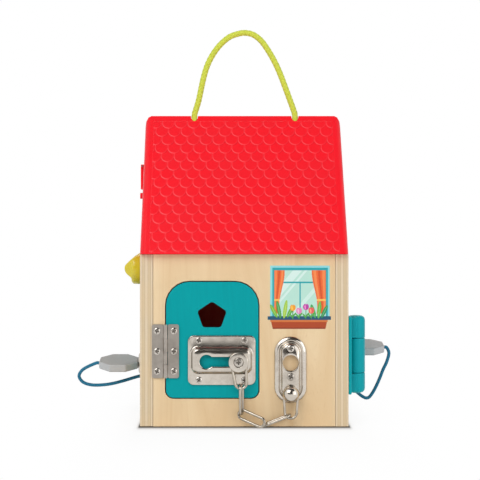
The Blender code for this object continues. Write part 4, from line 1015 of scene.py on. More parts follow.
@dataclass
class ScaledRoof(Assembly):
    """The hollow roof shell, a skin of fish scales on each slope, and the gable's small hatch.

    Attributes:
        reach: half the skin's width, in millimetres as all lengths here.
        top: how far down the slope the skin starts.
        bottom: how far down it ends.
        pitch: a scale's width.
        row: how far one row lies below another.
        lead: how far above the skin's top the first row starts.
        aside: how far the rows are shifted sideways.
        relief: the scales' height.
        cell: the distance between the skin's points.
    """

    reach: float = 88.8
    top: float = 6.2
    bottom: float = 161.4
    pitch: float = 12.5
    row: float = 10.286
    lead: float = 0.69
    aside: float = 1.0
    relief: float = 0.75
    cell: float = 0.58

    def build(self) -> None:
        """Dress the shell, lay both skins and finish the hatch."""
        self.dress("roof_shell", Look.RED_ROOF, "house", 0.6)
        for side, name in ((-1, "front"), (1, "rear")):
            self.finishes.give(self.skin(side, f"roof_scales_{name}"), Look.RED_ROOF, "house")
        self.dress("gable_hatch", Look.RED_ROOF, "hatch", 0.7, 3)
        self.finishes.keep(Look.STEEL, "hatch_pin")

    def scale_relief(self, across: np.ndarray, down: np.ndarray) -> tuple[np.ndarray, np.ndarray, np.ndarray]:
        """Height of overlapping round-ended scales, with masks for a painted highlight on their rims and painted shade
        in their grooves.

        Row k's scales end in half circles of half the pitch, whose lowest points lie (k + 1) rows down; odd
        rows are shifted by half a pitch. A point belongs to the first row whose ends it hasn't passed. The
        height grows from a scale's top to its end, and drops by the relief past the end. The rims get a painted
        highlight, stronger on a scale's left rim than on its right one as if lit from the left, and the grooves
        get painted shade.

        Args:
            across: distance along the roof.
            down: distance down the slope from the first row's top.

        Returns:
            The height in millimetres, and how near each point is to a rim or a groove, from 0 to 1: the masks of the
            painted highlight and the painted shade.
        """
        radius = self.pitch / 2
        upper = np.floor(down / self.row)

        def ending(index: np.ndarray) -> tuple[np.ndarray, np.ndarray]:
            """Distances sideways and down from the centre of the nearest half circle of a row."""
            shifted = across + (index % 2) * radius
            aside = shifted - np.round(shifted / self.pitch) * self.pitch
            return aside, down - ((index + 1) * self.row - radius)

        aside, below = ending(upper)
        past = (below > 0) & (np.hypot(aside, below) > radius)
        outside = np.where(past, np.hypot(aside, below) - radius, 9.0)
        aside, below = ending(upper + past)
        inside = np.where(below > 0, radius - np.hypot(aside, below), radius - np.abs(aside))
        along = np.clip((below + self.row) / (self.row + radius), 0, 1)
        crown = 1 - 0.18 * (aside / radius) ** 2
        lip = np.clip(inside / 0.5, 0, 1) ** 0.5
        height = self.relief * (0.25 + 0.75 * along) * crown * (0.55 + 0.45 * lip)
        # Painted highlight along each rim, stronger on the left rim as if lit from the left.
        rim = np.clip(1 - np.abs(inside - 0.5) / 0.55, 0, 1) * np.where(below > 0, 1.0, 0.6)
        rim = rim * (0.4 + 0.6 * np.clip(0.5 - 1.5 * aside / radius, 0, 1))
        # Painted shade in the grooves past a scale's end and beside it.
        side_groove = np.where(below > 0, 0.0, 0.5 * np.clip(1 - inside / 0.4, 0, 1))
        groove = np.maximum(np.clip(1 - outside / 0.75, 0, 1), side_groove)
        return height, rim, groove

    def skin(self, side: int, name: str) -> Object:
        """Lay a slope's skin of scales, its borders tucked just under the smooth shell round it.

        Args:
            side: -1 for the front slope, 1 for the rear one.
            name: the piece's name.

        Returns:
            The new object.
        """
        across = np.arange(-self.reach, self.reach + self.cell, self.cell)
        down = np.arange(self.top, self.bottom + self.cell, self.cell)
        down, across = np.meshgrid(np.minimum(down, self.bottom), np.minimum(across, self.reach), indexing="ij")
        height, rim, groove = self.scale_relief(across - self.aside, down - self.top + self.lead)
        border = np.minimum.reduce([self.reach - np.abs(across), down - self.top, self.bottom - down])
        edge = eased(np.clip(border / 0.7, 0, 1))
        height = (height + 0.12) * edge - 0.15
        length = math.hypot(ROOF_HALF_SPAN, ROOF_RISE)
        out, up = ROOF_HALF_SPAN / length, ROOF_RISE / length
        points = np.stack([across, side * (down * out + height * up), ROOF_PEAK - down * up + height * out], axis=-1)
        obj = mesh_piece(name, points * MM, grid_faces(*down.shape)[:, ::-side].tolist())
        # Masks for the finish's painted highlight on the rims and painted shade in the grooves.
        tagged(obj, "rim", rim * edge * 0.6)
        tagged(obj, "groove", groove * edge * 0.85)
        return obj


@dataclass
class RopeHandle(Assembly):
    """The plaited rope loop over the ridge, whose two ends are knotted inside the roof. Lengths in metres."""

    radius: float = 0.003
    strands: int = 4
    plait: float = 0.0085
    knot_top: float = 0.28047
    places: tuple[Pair, ...] = (
        (-0.0482, 0.2860), (-0.0482, 0.2970), (-0.0466, 0.3030), (-0.0441, 0.3115), (-0.0412, 0.3250),
        (-0.0391, 0.3345), (-0.0359, 0.3453), (-0.0307, 0.3562), (-0.0231, 0.3667), (-0.0135, 0.3749),
        (-0.0039, 0.3784), (0.0027, 0.3791), (0.0103, 0.3773), (0.0180, 0.3715), (0.0247, 0.3624),
        (0.0313, 0.3510), (0.0370, 0.3386), (0.0428, 0.3233), (0.0473, 0.3110), (0.0502, 0.3030),
        (0.0518, 0.2970), (0.0518, 0.2860))

    def build(self) -> None:
        """Plait the rope along its route and dress the knots."""
        ends = [(self.places[end][0], self.knot_top) for end in (0, -1)]
        path = route_through([(x, 0, z) for x, z in (ends[0], *self.places, ends[1])], 0.0006)
        rope = plaited("rope_handle_plait", path, self.radius, self.strands, self.plait, 40, 0.11)
        self.finishes.give(rope, Look.ROPE, "house", ("rope_handle",))
        self.finishes.keep(Look.ROPE, "rope_knot_left", "rope_knot_right")


# Plates and slabs

@dataclass(frozen=True)
class Place:
    """An origin and three directions: sideways and up in a piece's plane, and out of it."""

    origin: Point
    sideways: Point
    up: Point
    out: Point

    def world(self, sideways: np.ndarray, up: np.ndarray, out: np.ndarray) -> np.ndarray:
        """Carry millimetres along the three directions into world points in metres."""
        reach = [np.asarray(value)[..., None] * np.array(axis)
                 for value, axis in ((sideways, self.sideways), (up, self.up), (out, self.out))]
        return np.array(self.origin) + sum(reach) * MM


def rounded_ring(sides: tuple[float, float, float, float], radius: float, inset: float = 0.0, steps: int = 10
                 ) -> np.ndarray:
    """Outline of a rectangle of left, low, right and high with round corners, moved inwards by an inset."""
    left, low, right, high = sides
    radius = max(radius - inset, 0.05)
    edge = inset + radius
    turn = np.linspace(0, QUARTER_TURN, steps)
    centres = ((right - edge, high - edge), (left + edge, high - edge), (left + edge, low + edge),
               (right - edge, low + edge))
    return np.vstack([np.array(centre) + radius * np.stack([np.cos(turn + quarter * QUARTER_TURN),
                                                            np.sin(turn + quarter * QUARTER_TURN)], axis=-1)
                      for quarter, centre in enumerate(centres)])


def eased_slab(name: str, sides: tuple[float, float, float, float], radius: float, back: float, front: float,
               ease: float, place: Place) -> Object:
    """Rounded rectangular slab whose front and back edges are quarter circles of the ease.

    Args:
        name: the piece's name.
        sides: left, low, right and high in the place's plane, in millimetres.
        radius: the corners' radius.
        back: how far out the slab starts.
        front: how far out it ends.
        ease: the edges' radius.
        place: where the slab lies.

    Returns:
        The new object.
    """
    turn = np.linspace(0, QUARTER_TURN, 5)
    insets = ease * np.concatenate([1 - np.sin(turn), 1 - np.cos(turn)])
    levels = np.concatenate([back + ease * (1 - np.cos(turn)), front - ease * (1 - np.sin(turn))])
    rings = np.stack([rounded_ring(sides, radius, inset) for inset in insets])
    rows, columns = rings.shape[:2]
    points = place.world(rings[..., 0], rings[..., 1], np.broadcast_to(levels[:, None], (rows, columns)))
    faces = grid_faces(rows, columns, around=True).tolist()
    faces += [list(range(columns)), list(range((rows - 1) * columns, rows * columns))]
    return closed_up(mesh_piece(name, points, faces))


def seen_reach(outline: np.ndarray, centre: Pair, angles: np.ndarray) -> np.ndarray:
    """Distance from a point inside an outline to it, in each of some directions.

    The outline is walked in even steps of its own length, straight sides included, and every step gives one
    bearing and one distance.
    """
    walk = np.vstack([outline, outline[:1]])
    length = run_along(walk)
    even = np.linspace(0, length[-1], 12000)
    aside = np.stack([np.interp(even, length, walk[:, axis]) for axis in (0, 1)], axis=-1) - np.array(centre)
    bearing = np.arctan2(aside[:, 1], aside[:, 0])
    order = np.argsort(bearing)
    return np.interp(angles, bearing[order], np.hypot(*aside.T)[order], period=FULL_TURN)


def ringed_plate(name: str, rings: list[tuple[np.ndarray, float]], centre: Pair,
                 angles: np.ndarray, place: Place) -> Object:
    """Pressed plate drawn as rings round the hole in it.

    Every ring is an outline, as seen from the hole's centre in the same directions: at each angle its
    distance is read from the outline's own points, and the last ring joins the first.

    Args:
        name: the piece's name.
        rings: outlines in millimetres and how far out each lies.
        centre: the point that every outline goes round.
        angles: the directions.
        place: where the plate lies.

    Returns:
        The new object.
    """
    reach = np.stack([seen_reach(outline, centre, angles) for outline, _ in rings])
    levels = np.broadcast_to(np.array([level for _, level in rings])[:, None], reach.shape)
    points = place.world(centre[0] + reach * np.cos(angles), centre[1] + reach * np.sin(angles), levels)
    return closed_up(mesh_piece(name, points, grid_faces(*reach.shape, around=True, closed=True).tolist()))


# The front

@dataclass
class FrontDoor(Assembly):
    """The flush teal door with its steel hinge, the screws of its slotted plate and the knob that slides in the slot.

    Attributes:
        leaf: the door's body.
        ease: the width of the edges' rounding, in millimetres as all lengths here.
        screws: radius and height of the plates' screw heads.
        hinge_turns: how far each hinge screw is turned, the first three in the fixed leaf.
        track_turns: how far each of the track's screws is turned.
        hinge_axis: where the hinge's pin stands.
        pin_end: radius and distance from the end of each corner of the pin's domed end.
        foot: radius and height of the knob's foot behind the slot.
        neck: the radius of the neck in the slot.
        disc: radius and depth behind the front of each corner of the knob's dished disc.
        rounds: the rounding of each of the knob's corners.
    """

    leaf: str = "front_door_leaf"
    ease: float = 0.25
    screws: Pair = (3.1, 1.25)
    hinge_turns: tuple[float, ...] = (0.3, 1.0, 0.55, 0.2, 0.8, 1.25)
    track_turns: tuple[float, ...] = (0.5, 1.1, 0.25, 0.7)
    hinge_axis: Pair = (-73.2, -84.65)
    pin_end: Profile = ((0, 0), (1.1, 0.1), (1.55, 0.5), (1.6, 0.9), (0.9, 1.0))
    foot: Pair = (5.8, 1.2)
    neck: float = 3.9
    disc: Profile = ((9.2, 3.0), (9.2, 0.2), (4.7, 0.0), (4.25, 0.9), (0, 0.95))
    rounds: tuple[float, ...] = (0.3, 0.3, 0.2, 0.3, 0.6, 0.9, 0.25, 0.2)

    def build(self) -> None:
        """Dress the door and its hinge, screw its plate and turn its knob."""
        for node, look, body in (("front_door", Look.TEAL_PAINT, self.leaf),
                                 ("front_hinge_fixed", Look.STEEL, "house"),
                                 ("front_hinge_door", Look.STEEL, self.leaf)):
            self.dress(node, look, body, self.ease)
        self.finishes.give(self.hinge_pin(), Look.STEEL, "house", ("front_hinge_pin",))
        for number, turn in enumerate(self.hinge_turns, 1):
            body = "house" if number <= 3 else self.leaf
            self.fasten(f"front_hinge_screw_{number}", body, *self.screws, turn)
        for number, turn in enumerate(self.track_turns, 1):
            self.fasten(f"track_screw_{number}", self.leaf, *self.screws, turn)
        self.knob()

    def hinge_pin(self) -> Object:
        """Turn the hinge's pin with a domed head at each end."""
        low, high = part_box("front_hinge_pin")
        length = (high.z - low.z) / MM
        profile = [*self.pin_end, *((radius, length - above) for radius, above in reversed(self.pin_end))]
        x, y = self.hinge_axis
        return lathe("front_hinge_pin_domed", profile, (x * MM, y * MM, low.z), UP, 32)

    def knob(self) -> None:
        """Turn the knob: a foot behind the slot, a neck, and a dished disc whose middle takes a screw."""
        low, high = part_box("chain_knob")
        x, z = (low.x + high.x) / 2, (low.z + high.z) / 2
        depth = (high.y - low.y) / MM
        foot, height = self.foot
        corners = [(0, 0), (foot, 0), (foot, height), (self.neck, height), (self.neck, depth - self.disc[0][1]),
                   *((radius, depth - behind) for radius, behind in self.disc)]
        body = lathe("chain_knob_turned", rounded_profile(corners, self.rounds), (x, high.y, z), FORWARD, 96)
        self.finishes.give(body, Look.NICKEL, "knob", ("chain_knob",))
        head = screw_head("chain_knob_screw", (x, low.y + 1.0 * MM, z), 4.0, 0.9, 0.9, 0.6)
        self.finishes.give(head, Look.SCREW, "knob")


@dataclass
class DoorChain(Assembly):
    """Five bent-wire links: a shackle and two ovals that hang from the knob, an oval and a shackle on the stud.

    Attributes:
        wire: the wire's radius, in metres as all lengths here.
        sides: how many points go round the wire.
        length: an oval link's length along the middle of its wire.
        bend: the radius of its ends.
        play: how far the next link's wire lies inside its end.
        bead: how high the spot stands where the wire is welded.
        knob: the knob's middle, where link 1 turns round it.
        low: the middle of link 1's lower end.
        knob_bends: the radii of link 1's two ends.
        second_across: the direction across link 2.
        third_along: the direction along link 3.
        fourth_tip: where link 4 ends in link 5.
        fourth_along: the direction along link 4.
        stud: the ball stud's middle, where link 5 turns round it.
        stud_drop: how far below it link 5's lower end has its middle.
        stud_bends: the radii of link 5's two ends.
    """

    wire: float = 0.0013
    sides: int = 18
    length: float = 0.0262
    bend: float = 0.0041
    play: float = 0.0027
    bead: float = 0.00016
    knob: Point = (-0.0054, -0.0891, 0.0605)
    low: Point = (-0.00325, -0.0891, 0.0415)
    knob_bends: Pair = (0.0065, 0.0055)
    second_across: Point = (0.309, 0.951, 0)
    third_along: Point = (0.880, -0.330, -0.343)
    fourth_tip: Point = (0.04245, -0.0896, 0.0119)
    fourth_along: Point = (-0.927, 0, -0.374)
    stud: Point = (0.0430, -0.0896, 0.0310)
    stud_drop: float = 0.0168
    stud_bends: Pair = (0.0063, 0.0056)

    def build(self) -> None:
        """Bend every link where the CAD has it."""
        knob, low, stud = map(Vector, (self.knob, self.low, self.stud))
        back, down = Vector(BACK), Vector((0, 0, -1))
        fall = (low - knob).normalized()
        self.link(1, loop_path(knob, self.knob_bends[0], low, self.knob_bends[1], fall.cross(back)), BACK)
        tip = low + fall * self.knob_bends[1] - down * self.play
        self.oval(2, tip, down, Vector(self.second_across))
        along = Vector(self.third_along).normalized()
        self.oval(3, tip + down * self.length - along * self.play, along, along.cross(back))
        along = Vector(self.fourth_along).normalized()
        self.oval(4, Vector(self.fourth_tip), along, back, weld_in_front=True)
        foot = stud + down * self.stud_drop
        self.link(5, loop_path(stud, self.stud_bends[0], foot, self.stud_bends[1], Vector(RIGHT)), BACK)

    def oval(self, number: int, tip: Vector, along: Vector, across: Vector,
             weld_in_front: bool = False) -> None:
        """Bend an oval link from its near end along a direction."""
        near, far = tip + along * self.bend, tip + along * (self.length - self.bend)
        path = loop_path(near, self.bend, far, self.bend, across)
        self.link(number, path, tuple(along.cross(across)), weld_in_front)

    def link(self, number: int, path: np.ndarray, across: Point, weld_in_front: bool = False) -> None:
        """Carry the wire round a link, with a low bead where its ends are welded.

        Args:
            number: the link's number along the chain.
            path: its centre line.
            across: the direction square to the link's plane.
            weld_in_front: whether the bead faces the front.
        """
        share = np.linspace(0, 1, len(path), endpoint=False)
        spot = np.argmin(np.abs(share - (0.5 if weld_in_front else 0.25)))
        bead = self.bead * np.exp(-((np.arange(len(path)) - spot) / 0.8) ** 2)
        relief = np.broadcast_to(bead[:, None], (len(path), self.sides))
        obj = tube(f"chain_link_{number}_wire", path, self.wire, across, relief, closed=True)
        self.finishes.give(obj, Look.CHAIN, f"link_{number}", (f"chain_link_{number}",))


@dataclass
class ChainAnchor(Assembly):
    """What sits on the anchor plate: its two screws and the ball stud. Lengths are in millimetres.

    Attributes:
        turns: how far each screw is turned.
        stud: where the ball stud stands.
        ball: the ball's radius and the depth of its dome.
        stem: radius and depth behind the front of each corner under the dome.
        stem_foot: radius and height of the stem's lower end.
    """

    turns: Pair = (0.35, 0.95)
    stud: Point = (0.0430, -0.0825, 0.0310)
    ball: Pair = (7.4, 6.2)
    stem: Profile = ((7.4, 6.5), (7.0, 6.75), (4.0, 6.75))
    stem_foot: Pair = (4.0, 6.0)

    def build(self) -> None:
        """Dress the screws and turn the stud."""
        for number, turn in enumerate(self.turns, 1):
            self.fasten(f"anchor_screw_{number}", "house", 3.4, 1.7, turn)
        front = (self.stud[1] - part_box("ball_stud")[0].y) / MM
        radius, dome = self.ball
        profile = [(radius * math.sin(a), front - dome * (1 - math.cos(a)))
                   for a in np.linspace(0, QUARTER_TURN, 20)]
        profile += [(reach, front - behind) for reach, behind in self.stem]
        profile += [self.stem_foot, (0, self.stem_foot[1])]
        stud = lathe("ball_stud_turned", profile, self.stud, FORWARD, 96)
        self.finishes.give(stud, Look.NICKEL, "house", ("ball_stud",))


@dataclass
class PressedPlates(Assembly):
    """The two pressed nickel plates of the door chain: the slotted track and the anchor.

    Lengths are in millimetres. Each plate's rings go from its back edge to its hole, as pairs of how far the
    ring lies inside its outline, or for a hole how far outside, and how far out of the front it lies.
    """

    front: Place = Place((0.0, FRONT_FACE * MM, 0.0), RIGHT, UP, FORWARD)
    sheet: tuple = ((-52.4, 38.6, 10.5, 84.6), 5.6)
    boss: tuple = ((-50.0, 48.6, 7.9, 74.9), 7.5)
    keyhole: Pair = (-35.0, 60.5)
    keyhole_radius: float = 6.3
    slot: tuple = (-39.35, 56.15, -1.05, 64.85)
    slot_radius: float = 4.3
    sheet_rings: tuple = ((0, 0.3), (0, 1.0), (0.12, 1.3), (0.5, 1.5), (1.2, 1.5))
    boss_rings: tuple = ((-0.7, 1.5), (-0.1, 1.6), (0.3, 1.85), (0.7, 2.2), (1.4, 2.95), (2.2, 3.75), (2.9, 4.35),
                         (3.5, 4.75), (3.9, 4.92))
    slot_rings: tuple = ((1.3, 5.06), (0.8, 5.02), (0.35, 4.8), (0.08, 4.5), (0, 4.1), (0, 3.7))
    inner_rings: tuple = ((4.2, 3.4), (2.6, 2.3), (1.2, 1.0), (0.9, 0.3))
    oblong: tuple = ((28.1, 21.8, 57.9, 83.6), 14.85)
    hole: Pair = (43.0, 59.4)
    hole_radius: float = 7.35
    oblong_rings: tuple = (
        (0, 0.3), (0, 0.8), (0.15, 1.15), (0.6, 1.5), (1.6, 2.15), (2.6, 2.6), (3.3, 2.7), (3.9, 2.5), (4.6, 1.9),
        (5.2, 1.55), (5.8, 1.6), (6.15, 2.1), (6.3, 3.0), (6.5, 3.9), (6.9, 4.4), (7.2, 4.6))
    strip_rings: tuple = (((35.37, 31.0, 50.63, 68.6), 5.24), ((35.38, 50.8, 50.62, 68.0), 5.28))
    strip_radius: float = 7.6
    hole_rings: tuple = ((0.25, 5.28), (0.05, 5.15), (0, 4.8), (0, 0.3))

    def build(self) -> None:
        """Press both plates."""
        self.finishes.give(self.track(), Look.NICKEL, "front_door_leaf", ("track_plate",))
        self.finishes.give(self.anchor(), Look.NICKEL, "house", ("anchor_plate",))

    def track(self) -> Object:
        """Flat sheet with a raised boss, dished towards a keyhole and the slot that leaves it."""
        even = np.linspace(-math.pi, math.pi, 300, endpoint=False)
        angles = np.sort(np.concatenate([even, np.linspace(-0.2, 0.2, 141)[1:-1] + 0.0005]))

        def opening(grown: float) -> np.ndarray:
            """Keyhole and slot, grown by a distance: the further of a circle and a round-ended slot."""
            left, low, right, high = self.slot
            slot = rounded_ring((left - grown, low - grown, right + grown, high + grown), self.slot_radius + grown,
                                0, 60)
            reach = np.maximum(seen_reach(slot, self.keyhole, angles), self.keyhole_radius + grown)
            return np.array(self.keyhole) + np.stack([reach * np.cos(angles), reach * np.sin(angles)], axis=-1)

        rings = [(rounded_ring(*outline, inset, 24), level)
                 for outline, levels in ((self.sheet, self.sheet_rings), (self.boss, self.boss_rings))
                 for inset, level in levels]
        rings += [(opening(grown), level) for grown, level in self.slot_rings]
        rings += [(rounded_ring(*self.boss, inset, 24), level) for inset, level in self.inner_rings]
        return ringed_plate("track_plate_pressed", rings, self.keyhole, angles, self.front)

    def anchor(self) -> Object:
        """Oblong flange that rises to a low ridge, a channel, and a raised strip with a round hole."""
        turn = circle(240)
        round_hole = np.stack([np.cos(turn), np.sin(turn)], axis=-1)
        rings = [(rounded_ring(*self.oblong, inset, 40), level) for inset, level in self.oblong_rings]
        rings += [(rounded_ring(sides, self.strip_radius, 0, 40), level) for sides, level in self.strip_rings]
        rings += [(np.array(self.hole) + (self.hole_radius + grown) * round_hole, level)
                  for grown, level in self.hole_rings]
        angles = np.linspace(-math.pi, math.pi, 300, endpoint=False)
        return ringed_plate("anchor_plate_pressed", rings, self.hole, angles, self.front)


@dataclass
class WindowPrint(Assembly):
    """The window printed on the front panel: three panes, plain curtains, and plants in a box.

    Lengths are in millimetres in the front panel's plane, areas as left, right, low and high, and colours in
    0 to 255 steps a channel.

    Attributes:
        lift: how far the print lies in front of the panel.
        cell: the distance between its points.
        extent: the whole print.
        border: the pale border's area and colour.
        casing: the window frame's area.
        bars: the bars' areas.
        bar_colour: the colour of frame and bars.
        glass: the panes' area and colour.
        glints: where each slanting glint starts and ends, and its colour.
        tufts: each leaf tuft's place, lean, half height and colour.
        blooms: each flower's place, height, colour and highlight.
    """

    lift: float = 0.12
    cell: float = 0.3
    extent: tuple = (21.8, 80.9, 90.7, 149.5)
    border: tuple = ((24.1, 79.7, 102.3, 149.5), (142, 220, 225))
    casing: tuple = (26.1, 77.7, 102.3, 147.6)
    bars: tuple = ((27.9, 76.0, 133.2, 134.5), (51.3, 52.6, 102.3, 133.2))
    bar_colour: tuple = (30, 165, 175)
    glass: tuple = ((27.9, 76.0, 102.3, 145.2), (186, 228, 213))
    glints: tuple = ((-78, -69.5, (214, 240, 232)), (-67, -64.5, (214, 240, 232)), (-45, -40.5, (208, 238, 228)))
    tufts: tuple = (
        (30.5, 0.5, 6.8, (120, 186, 52)), (33.6, 0.2, 8.2, (74, 158, 66)), (37.0, -0.15, 8.6, (164, 206, 62)),
        (40.0, -0.5, 6.6, (96, 174, 60)), (66.0, 0.3, 6.6, (60, 168, 84)), (69.0, -0.1, 8.0, (98, 188, 70)),
        (72.0, -0.45, 6.4, (44, 150, 80)))
    blooms: tuple = (
        (45.2, 110.4, (244, 158, 44), (252, 214, 96)), (51.0, 107.6, (226, 132, 188), (246, 190, 220)),
        (57.4, 111.2, (190, 62, 168), (248, 150, 206)), (62.4, 107.9, (240, 96, 88), (252, 168, 140)))

    def build(self) -> None:
        """Paint the picture on a fine grid and keep only the cells that hold ink."""
        left, right, low, high = self.extent
        across = np.arange(left - self.cell, right + 2 * self.cell, self.cell)
        up = np.arange(low - self.cell, high + 2 * self.cell, self.cell)
        self.z, self.x = np.meshgrid(up, across, indexing="ij")
        self.ink = np.zeros(self.x.shape + (4,))
        for paint in (self.window, self.curtains, self.planter, self.plants):
            paint()
        points = np.stack([self.x, np.full(self.x.shape, FRONT_FACE - self.lift), self.z], axis=-1) * MM
        faces = grid_faces(*self.x.shape)
        inked = self.ink[..., 3].reshape(-1) > 0
        obj = mesh_piece("window_print", points, faces[inked[faces].all(axis=1)].tolist())
        attribute = obj.data.color_attributes.new("ink", "FLOAT_COLOR", "POINT")
        attribute.data.foreach_set("color", self.ink.reshape(-1).astype(np.float32))
        with reshaped(obj) as shape:
            loose = [vertex for vertex in shape.verts if not vertex.link_faces]
            bmesh.ops.delete(shape, geom=loose, context="VERTS")
        self.finishes.give(obj, Look.PRINT, "house")

    def colour_in(self, where: np.ndarray, colour: tuple[int, int, int]) -> None:
        """Ink the points of a mask in one colour."""
        self.ink[where] = tint(*colour)

    def block(self, left: float, right: float, low: float, high: float) -> np.ndarray:
        """Mask of an upright rectangle."""
        return (self.x >= left) & (self.x <= right) & (self.z >= low) & (self.z <= high)

    def round(self, x: float, z: float, wide: float, tall: float, lean: float = 0.0) -> np.ndarray:
        """Mask of an ellipse: ((x cos l + z sin l) / w)^2 + ((z cos l - x sin l) / t)^2 < 1."""
        aside, above = self.x - x, self.z - z
        turned = (aside * math.cos(lean) + above * math.sin(lean),
                  above * math.cos(lean) - aside * math.sin(lean))
        return (turned[0] / wide) ** 2 + (turned[1] / tall) ** 2 < 1

    def window(self) -> None:
        """Border, frame, glass with slanting glints, and the bars of one high pane over two tall ones."""
        self.colour_in(self.block(*self.border[0]), self.border[1])
        self.colour_in(self.block(*self.casing), self.bar_colour)
        glass = self.block(*self.glass[0])
        self.colour_in(glass, self.glass[1])
        slant = self.x - self.z * 0.85
        for start, end, colour in self.glints:
            self.colour_in(glass & (slant > start) & (slant < end), colour)
        for bar in self.bars:
            self.colour_in(self.block(*bar), self.bar_colour)

    def curtains(self) -> None:
        """Two plain curtains drawn back to the sides, their inner edges following a half cosine."""
        left, right, _, high = self.glass[0]
        drop = np.clip((high - self.z) / 40.0, 0, 1)
        hung = self.block(left, right, 105.0, high)
        reach = 6.2 + 3.6 * np.cos(drop * math.pi) + 2.6 * drop ** 3
        for inward, wide in ((self.x - left, reach), (right - self.x, reach + 3.5)):
            cloth = hung & (inward < wide)
            fold = np.sin(inward / wide * math.pi * 3.2)
            self.colour_in(cloth, (238, 106, 48))
            self.colour_in(cloth & (fold > 0.55), (246, 140, 78))
            self.colour_in(cloth & (fold < -0.72), (214, 82, 36))
            self.colour_in(cloth & (np.abs(self.z - 117.5) < 0.9), (250, 196, 92))

    def planter(self) -> None:
        """The dark sill and the box below it, whose ends lean in."""
        left, right, low, _ = self.extent
        self.colour_in(self.block(left, right, 99.0, 102.4), (22, 84, 116))
        lean = (98.5 - self.z) * 0.22
        box = (self.z >= low) & (self.z < 99.0) & (self.x > 24.6 + lean) & (self.x < 77.4 - lean)
        self.colour_in(box, (176, 68, 24))
        self.colour_in((self.z >= 97.2) & (self.z < 99.0) & (self.x > 24.1) & (self.x < 77.9), (214, 118, 58))
        self.colour_in(box & (self.z < 91.9), (150, 58, 28))

    def plants(self) -> None:
        """Leaf tufts and four cup flowers, none of them outside the frame."""
        for x, lean, tall, shade in self.tufts:
            place = (x - lean * tall * 0.9, 101.2 + tall * 0.9)
            over_sill = self.z > 99.4
            self.colour_in(self.round(*place, 1.75, tall, lean) & over_sill, shade)
            self.colour_in(self.round(*place, 0.35, tall * 0.8, lean) & over_sill,
                           tuple(channel + (255 - channel) // 3 for channel in shade))
        for x, z, colour, bright in self.blooms:
            self.colour_in((np.abs(self.x - x) < 0.38) & (self.z > 99.6) & (self.z < z), (62, 146, 62))
            self.colour_in(self.round(x - 1.4, 102.8, 0.8, 2.6, 0.7) | self.round(x + 1.4, 103.8, 0.8, 2.6, -0.7),
                           (84, 170, 70))
            cup = self.round(x, z, 2.7, 3.1) & (self.z < z + 1.9 + 1.0 * np.abs(np.sin((self.x - x) * 1.6)))
            self.colour_in(cup, colour)
            self.colour_in(self.round(x - 0.7, z - 0.3, 0.7, 2.0, 0.1), bright)


# The sides

@dataclass
class SideLock(Assembly):
    """A side door's lock: rose, cylinder, cam and grey-bowed key, with the cord that tethers the key.

    Attributes:
        prefix: left or right.
        centre: the lock's middle on the door's face, in metres.
        outward: 1 where the outside lies to the right, -1 where it lies to the left.
        along: 1 where the cord's sideways places count to the back, -1 where they count to the front.
        route: the cord's places in metres: sideways, out of the door and up.
        radius: the cord's radius in metres.
        rose: the rose's corners as radius and height in millimetres.
        stopper: the cord stopper's corners, likewise.
    """

    prefix: str
    centre: Point
    outward: float
    along: float
    route: tuple[Point, ...]
    radius: float = 0.0017
    rose: tuple = ((6.1, 0.3), (10.65, 0.3), (10.65, 4.6), (9.3, 6.5), (7.0, 6.5), (6.1, 5.6), (6.1, 0.3))
    rose_rounds: tuple = (0.1, 0.8, 1.3, 0.5, 0.5)
    stopper: tuple = ((0, 0.3), (4.0, 0.3), (4.0, 1.2), (2.9, 2.0), (1.9, 1.9), (0, 1.3))
    stopper_rounds: tuple = (0.1, 0.4, 0.4, 0.2)

    def build(self) -> None:
        """Turn the rose, dress the key and lay the cord."""
        leaf, core = f"{self.prefix}_door_leaf", f"{self.prefix}_lock_core"
        self.turned("rose", self.rose, self.rose_rounds, self.centre, 64, Look.NICKEL)
        self.dress(f"{self.prefix}_cylinder", Look.STEEL, core, 0.25)
        self.dress(f"{self.prefix}_cam", Look.STEEL, core, 0.3)
        self.dress(f"{self.prefix}_key", Look.KEY, core, 0.6, 3, 40.0)
        path = route_through([(self.centre[0] + self.outward * out_by, self.centre[1] + self.along * side, up)
                              for side, out_by, up in self.route], 0.0005)
        cord = plaited(f"{self.prefix}_key_cord_plait", path, self.radius, 3, 0.0042, 20, 0.14)
        self.finishes.give(cord, Look.KEY_CORD, leaf, (f"{self.prefix}_key_cord",))
        low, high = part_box(f"{self.prefix}_cord_grommet")
        middle = (self.centre[0], (low.y + high.y) / 2, (low.z + high.z) / 2)
        self.turned("cord_grommet", self.stopper, self.stopper_rounds, middle, 40, Look.CORD_STOPPER)

    def turned(self, part: str, corners: tuple, rounds: tuple, place: Point, sides: int, look: Look) -> None:
        """Turn a round piece that sits on the door."""
        node = f"{self.prefix}_{part}"
        piece = lathe(f"{node}_turned", rounded_profile(corners, rounds), place, (self.outward, 0.0, 0.0), sides)
        self.finishes.give(piece, look, f"{self.prefix}_door_leaf", (node,))


